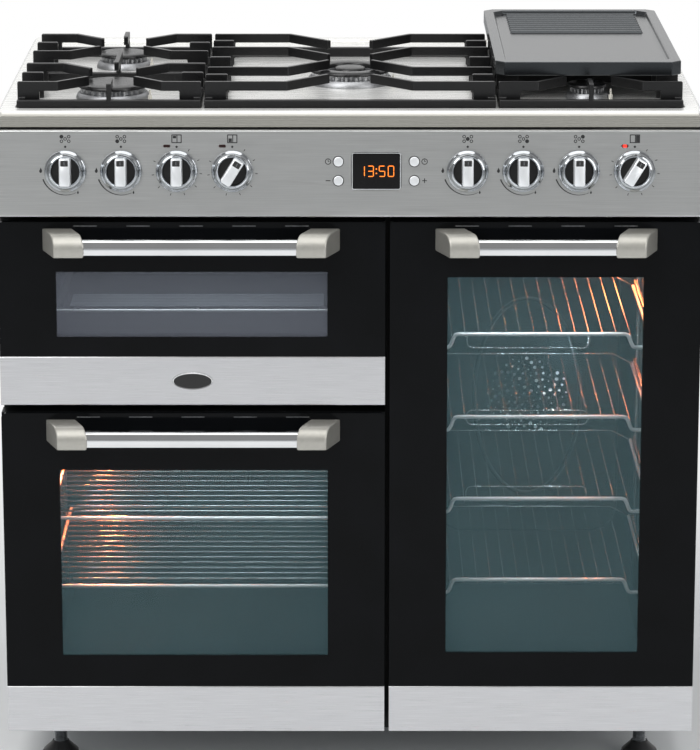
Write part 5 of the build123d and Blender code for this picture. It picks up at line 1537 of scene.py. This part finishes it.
class StageOperator(bpy.types.Operator):
    """Set up the camera, the pale floor, the backdrop and the soft studio light"""

    bl_idname = "cooker.stage"
    bl_label = "Stage"

    def execute(self, context):
        scene = context.scene
        sizes = scene.cooker_stage
        scene.view_settings.view_transform = "Standard"
        self.make_camera(scene, sizes)
        self.make_floor(scene, sizes)
        self.make_world(scene, sizes)
        for name, box in SOFTBOXES.items():
            self.make_light(scene, name, *box)
        return {"FINISHED"}

    def make_camera(self, scene, sizes):
        """The photograph's angle: a long lens, a little above the hob, looking down."""
        lens = bpy.data.cameras.new("camera")
        lens.lens = sizes.lens
        lens.sensor_width = 36.0
        lens.shift_y = sizes.shift
        camera = bpy.data.objects.new("camera", lens)
        camera.location = (0, sizes.camera_y, sizes.camera_z)
        camera.rotation_euler = (math.pi / 2 - sizes.pitch, 0, 0)
        scene.collection.objects.link(camera)
        scene.camera = camera

    def make_floor(self, scene, sizes):
        """A pale matte floor with a faint unevenness."""
        half = sizes.floor_size / 2
        points = [(-half, -half, 0), (half, -half, 0), (half, half, 0), (-half, half, 0)]
        data = bpy.data.meshes.new("floor")
        data.from_pydata(points, [], [(0, 1, 2, 3)])
        data.materials.append(self.floor_material(sizes))
        floor = bpy.data.objects.new("floor", data)
        scene.collection.objects.link(floor)

    def floor_material(self, sizes):
        """Pale paint that keeps the shadow near the cooker and runs out into the white backdrop."""
        material = patterned(
            "floor_painted_pale", (sizes.floor_dark, sizes.floor_light), (0.7, 0.8), 400
        )
        tree = material.node_tree
        paint = tree.nodes["Principled BSDF"]
        place = add_node(tree, "ShaderNodeTexCoord")
        away = add_node(
            tree, "ShaderNodeVectorMath", {0: place.outputs["Object"]}, operation="LENGTH"
        )
        # The paint gives way to white between these two distances from the middle, in metres
        far = add_node(
            tree, "ShaderNodeMapRange",
            {"Value": away.outputs["Value"], "From Min": 0.7, "From Max": 1.8},
        )
        path = add_node(tree, "ShaderNodeLightPath")
        seen = add_node(
            tree, "ShaderNodeMath", {0: far.outputs["Result"], 1: path.outputs["Is Camera Ray"]},
            operation="MULTIPLY",
        )
        white = add_node(tree, "ShaderNodeEmission", {"Color": (1, 1, 1, 1), "Strength": 1.0})
        mixed = add_node(
            tree, "ShaderNodeMixShader",
            {0: seen.outputs[0], 1: paint.outputs[0], 2: white.outputs[0]},
        )
        tree.links.new(mixed.outputs[0], tree.nodes["Material Output"].inputs["Surface"])
        return material

    def make_world(self, scene, sizes):
        """White behind the cooker, for the eye and in reflections, and a dim studio before it."""
        world = bpy.data.worlds.new("studio")
        world.use_nodes = True
        tree = world.node_tree
        tree.nodes.clear()
        path = add_node(tree, "ShaderNodeLightPath")
        way = add_node(tree, "ShaderNodeTexCoord")
        axes = add_node(tree, "ShaderNodeSeparateXYZ", {"Vector": way.outputs["Generated"]})
        # Reflections grow from dim in front to full white behind
        behind = add_node(
            tree, "ShaderNodeMapRange",
            {
                "Value": axes.outputs["Y"], "From Min": -0.2, "From Max": 0.6,
                "To Min": 0.3, "To Max": 1.0,
            },
        )
        level = add_node(
            tree, "ShaderNodeMath",
            {0: behind.outputs["Result"], 1: path.outputs["Is Camera Ray"]}, operation="MAXIMUM",
        )
        seen = path.outputs["Is Camera Ray"]
        for ray in ("Is Glossy Ray", "Is Transmission Ray"):
            either = add_node(
                tree, "ShaderNodeMath", {0: seen, 1: path.outputs[ray]}, operation="MAXIMUM"
            )
            seen = either.outputs[0]
        room = add_node(tree, "ShaderNodeBackground", {"Color": sizes.studio, "Strength": 0.55})
        white = add_node(
            tree, "ShaderNodeBackground", {"Color": (1, 1, 1, 1), "Strength": level.outputs[0]}
        )
        mixed = add_node(
            tree, "ShaderNodeMixShader", {0: seen, 1: room.outputs[0], 2: white.outputs[0]}
        )
        add_node(tree, "ShaderNodeOutputWorld", {"Surface": mixed.outputs[0]})
        scene.world = world

    def make_light(self, scene, name, place, aim, size, power):
        """A square softbox that looks at a point."""
        data = bpy.data.lights.new(name, "AREA")
        data.size = size
        data.energy = power
        light = bpy.data.objects.new(name, data)
        light.location = place
        light.rotation_euler = (Vector(aim) - Vector(place)).to_track_quat("-Z", "Y").to_euler()
        scene.collection.objects.link(light)


class CookerPanel(bpy.types.Panel):
    """Buttons and sizes of the cooker in the 3D view's sidebar."""

    bl_idname = "VIEW3D_PT_cooker"
    bl_label = "Range cooker"
    bl_space_type = "VIEW_3D"
    bl_region_type = "UI"
    bl_category = "Cooker"

    def draw(self, context):
        for operator in OPERATORS:
            self.layout.operator(operator.bl_idname)
        for name, group in SETTINGS.items():
            column = self.layout.column()
            column.label(text=group.__doc__)
            for key in group.__annotations__:
                column.prop(getattr(context.scene, name), key)


OPERATORS = (
    MaterialsOperator,
    CasingOperator,
    HobOperator,
    ControlsOperator,
    OvensOperator,
    DoorsOperator,
    StageOperator,
)
SETTINGS = {
    "cooker_finish": FinishSettings,
    "cooker_hob": HobSettings,
    "cooker_knob": KnobSettings,
    "cooker_oven": OvenSettings,
    "cooker_door": DoorSettings,
    "cooker_handle": HandleSettings,
    "cooker_stage": StageSettings,
}


def register():
    """Add the settings, the operators and the panel to Blender."""
    for name, group in SETTINGS.items():
        bpy.utils.register_class(group)
        setattr(bpy.types.Scene, name, PointerProperty(type=group))
    for kind in (*OPERATORS, CookerPanel):
        bpy.utils.register_class(kind)


def unregister():
    """Take the settings, the operators and the panel out of Blender."""
    for kind in (CookerPanel, *reversed(OPERATORS)):
        bpy.utils.unregister_class(kind)
    for name, group in SETTINGS.items():
        delattr(bpy.types.Scene, name)
        bpy.utils.unregister_class(group)


def main():
    """Dress the cooker and set the stage."""
    register()
    bpy.ops.cooker.materials()
    bpy.ops.cooker.casing()
    bpy.ops.cooker.hob()
    bpy.ops.cooker.controls()
    bpy.ops.cooker.ovens()
    bpy.ops.cooker.doors()
    bpy.ops.cooker.stage()
    bpy.context.view_layer.update()


if __name__ == "__main__":
    main()
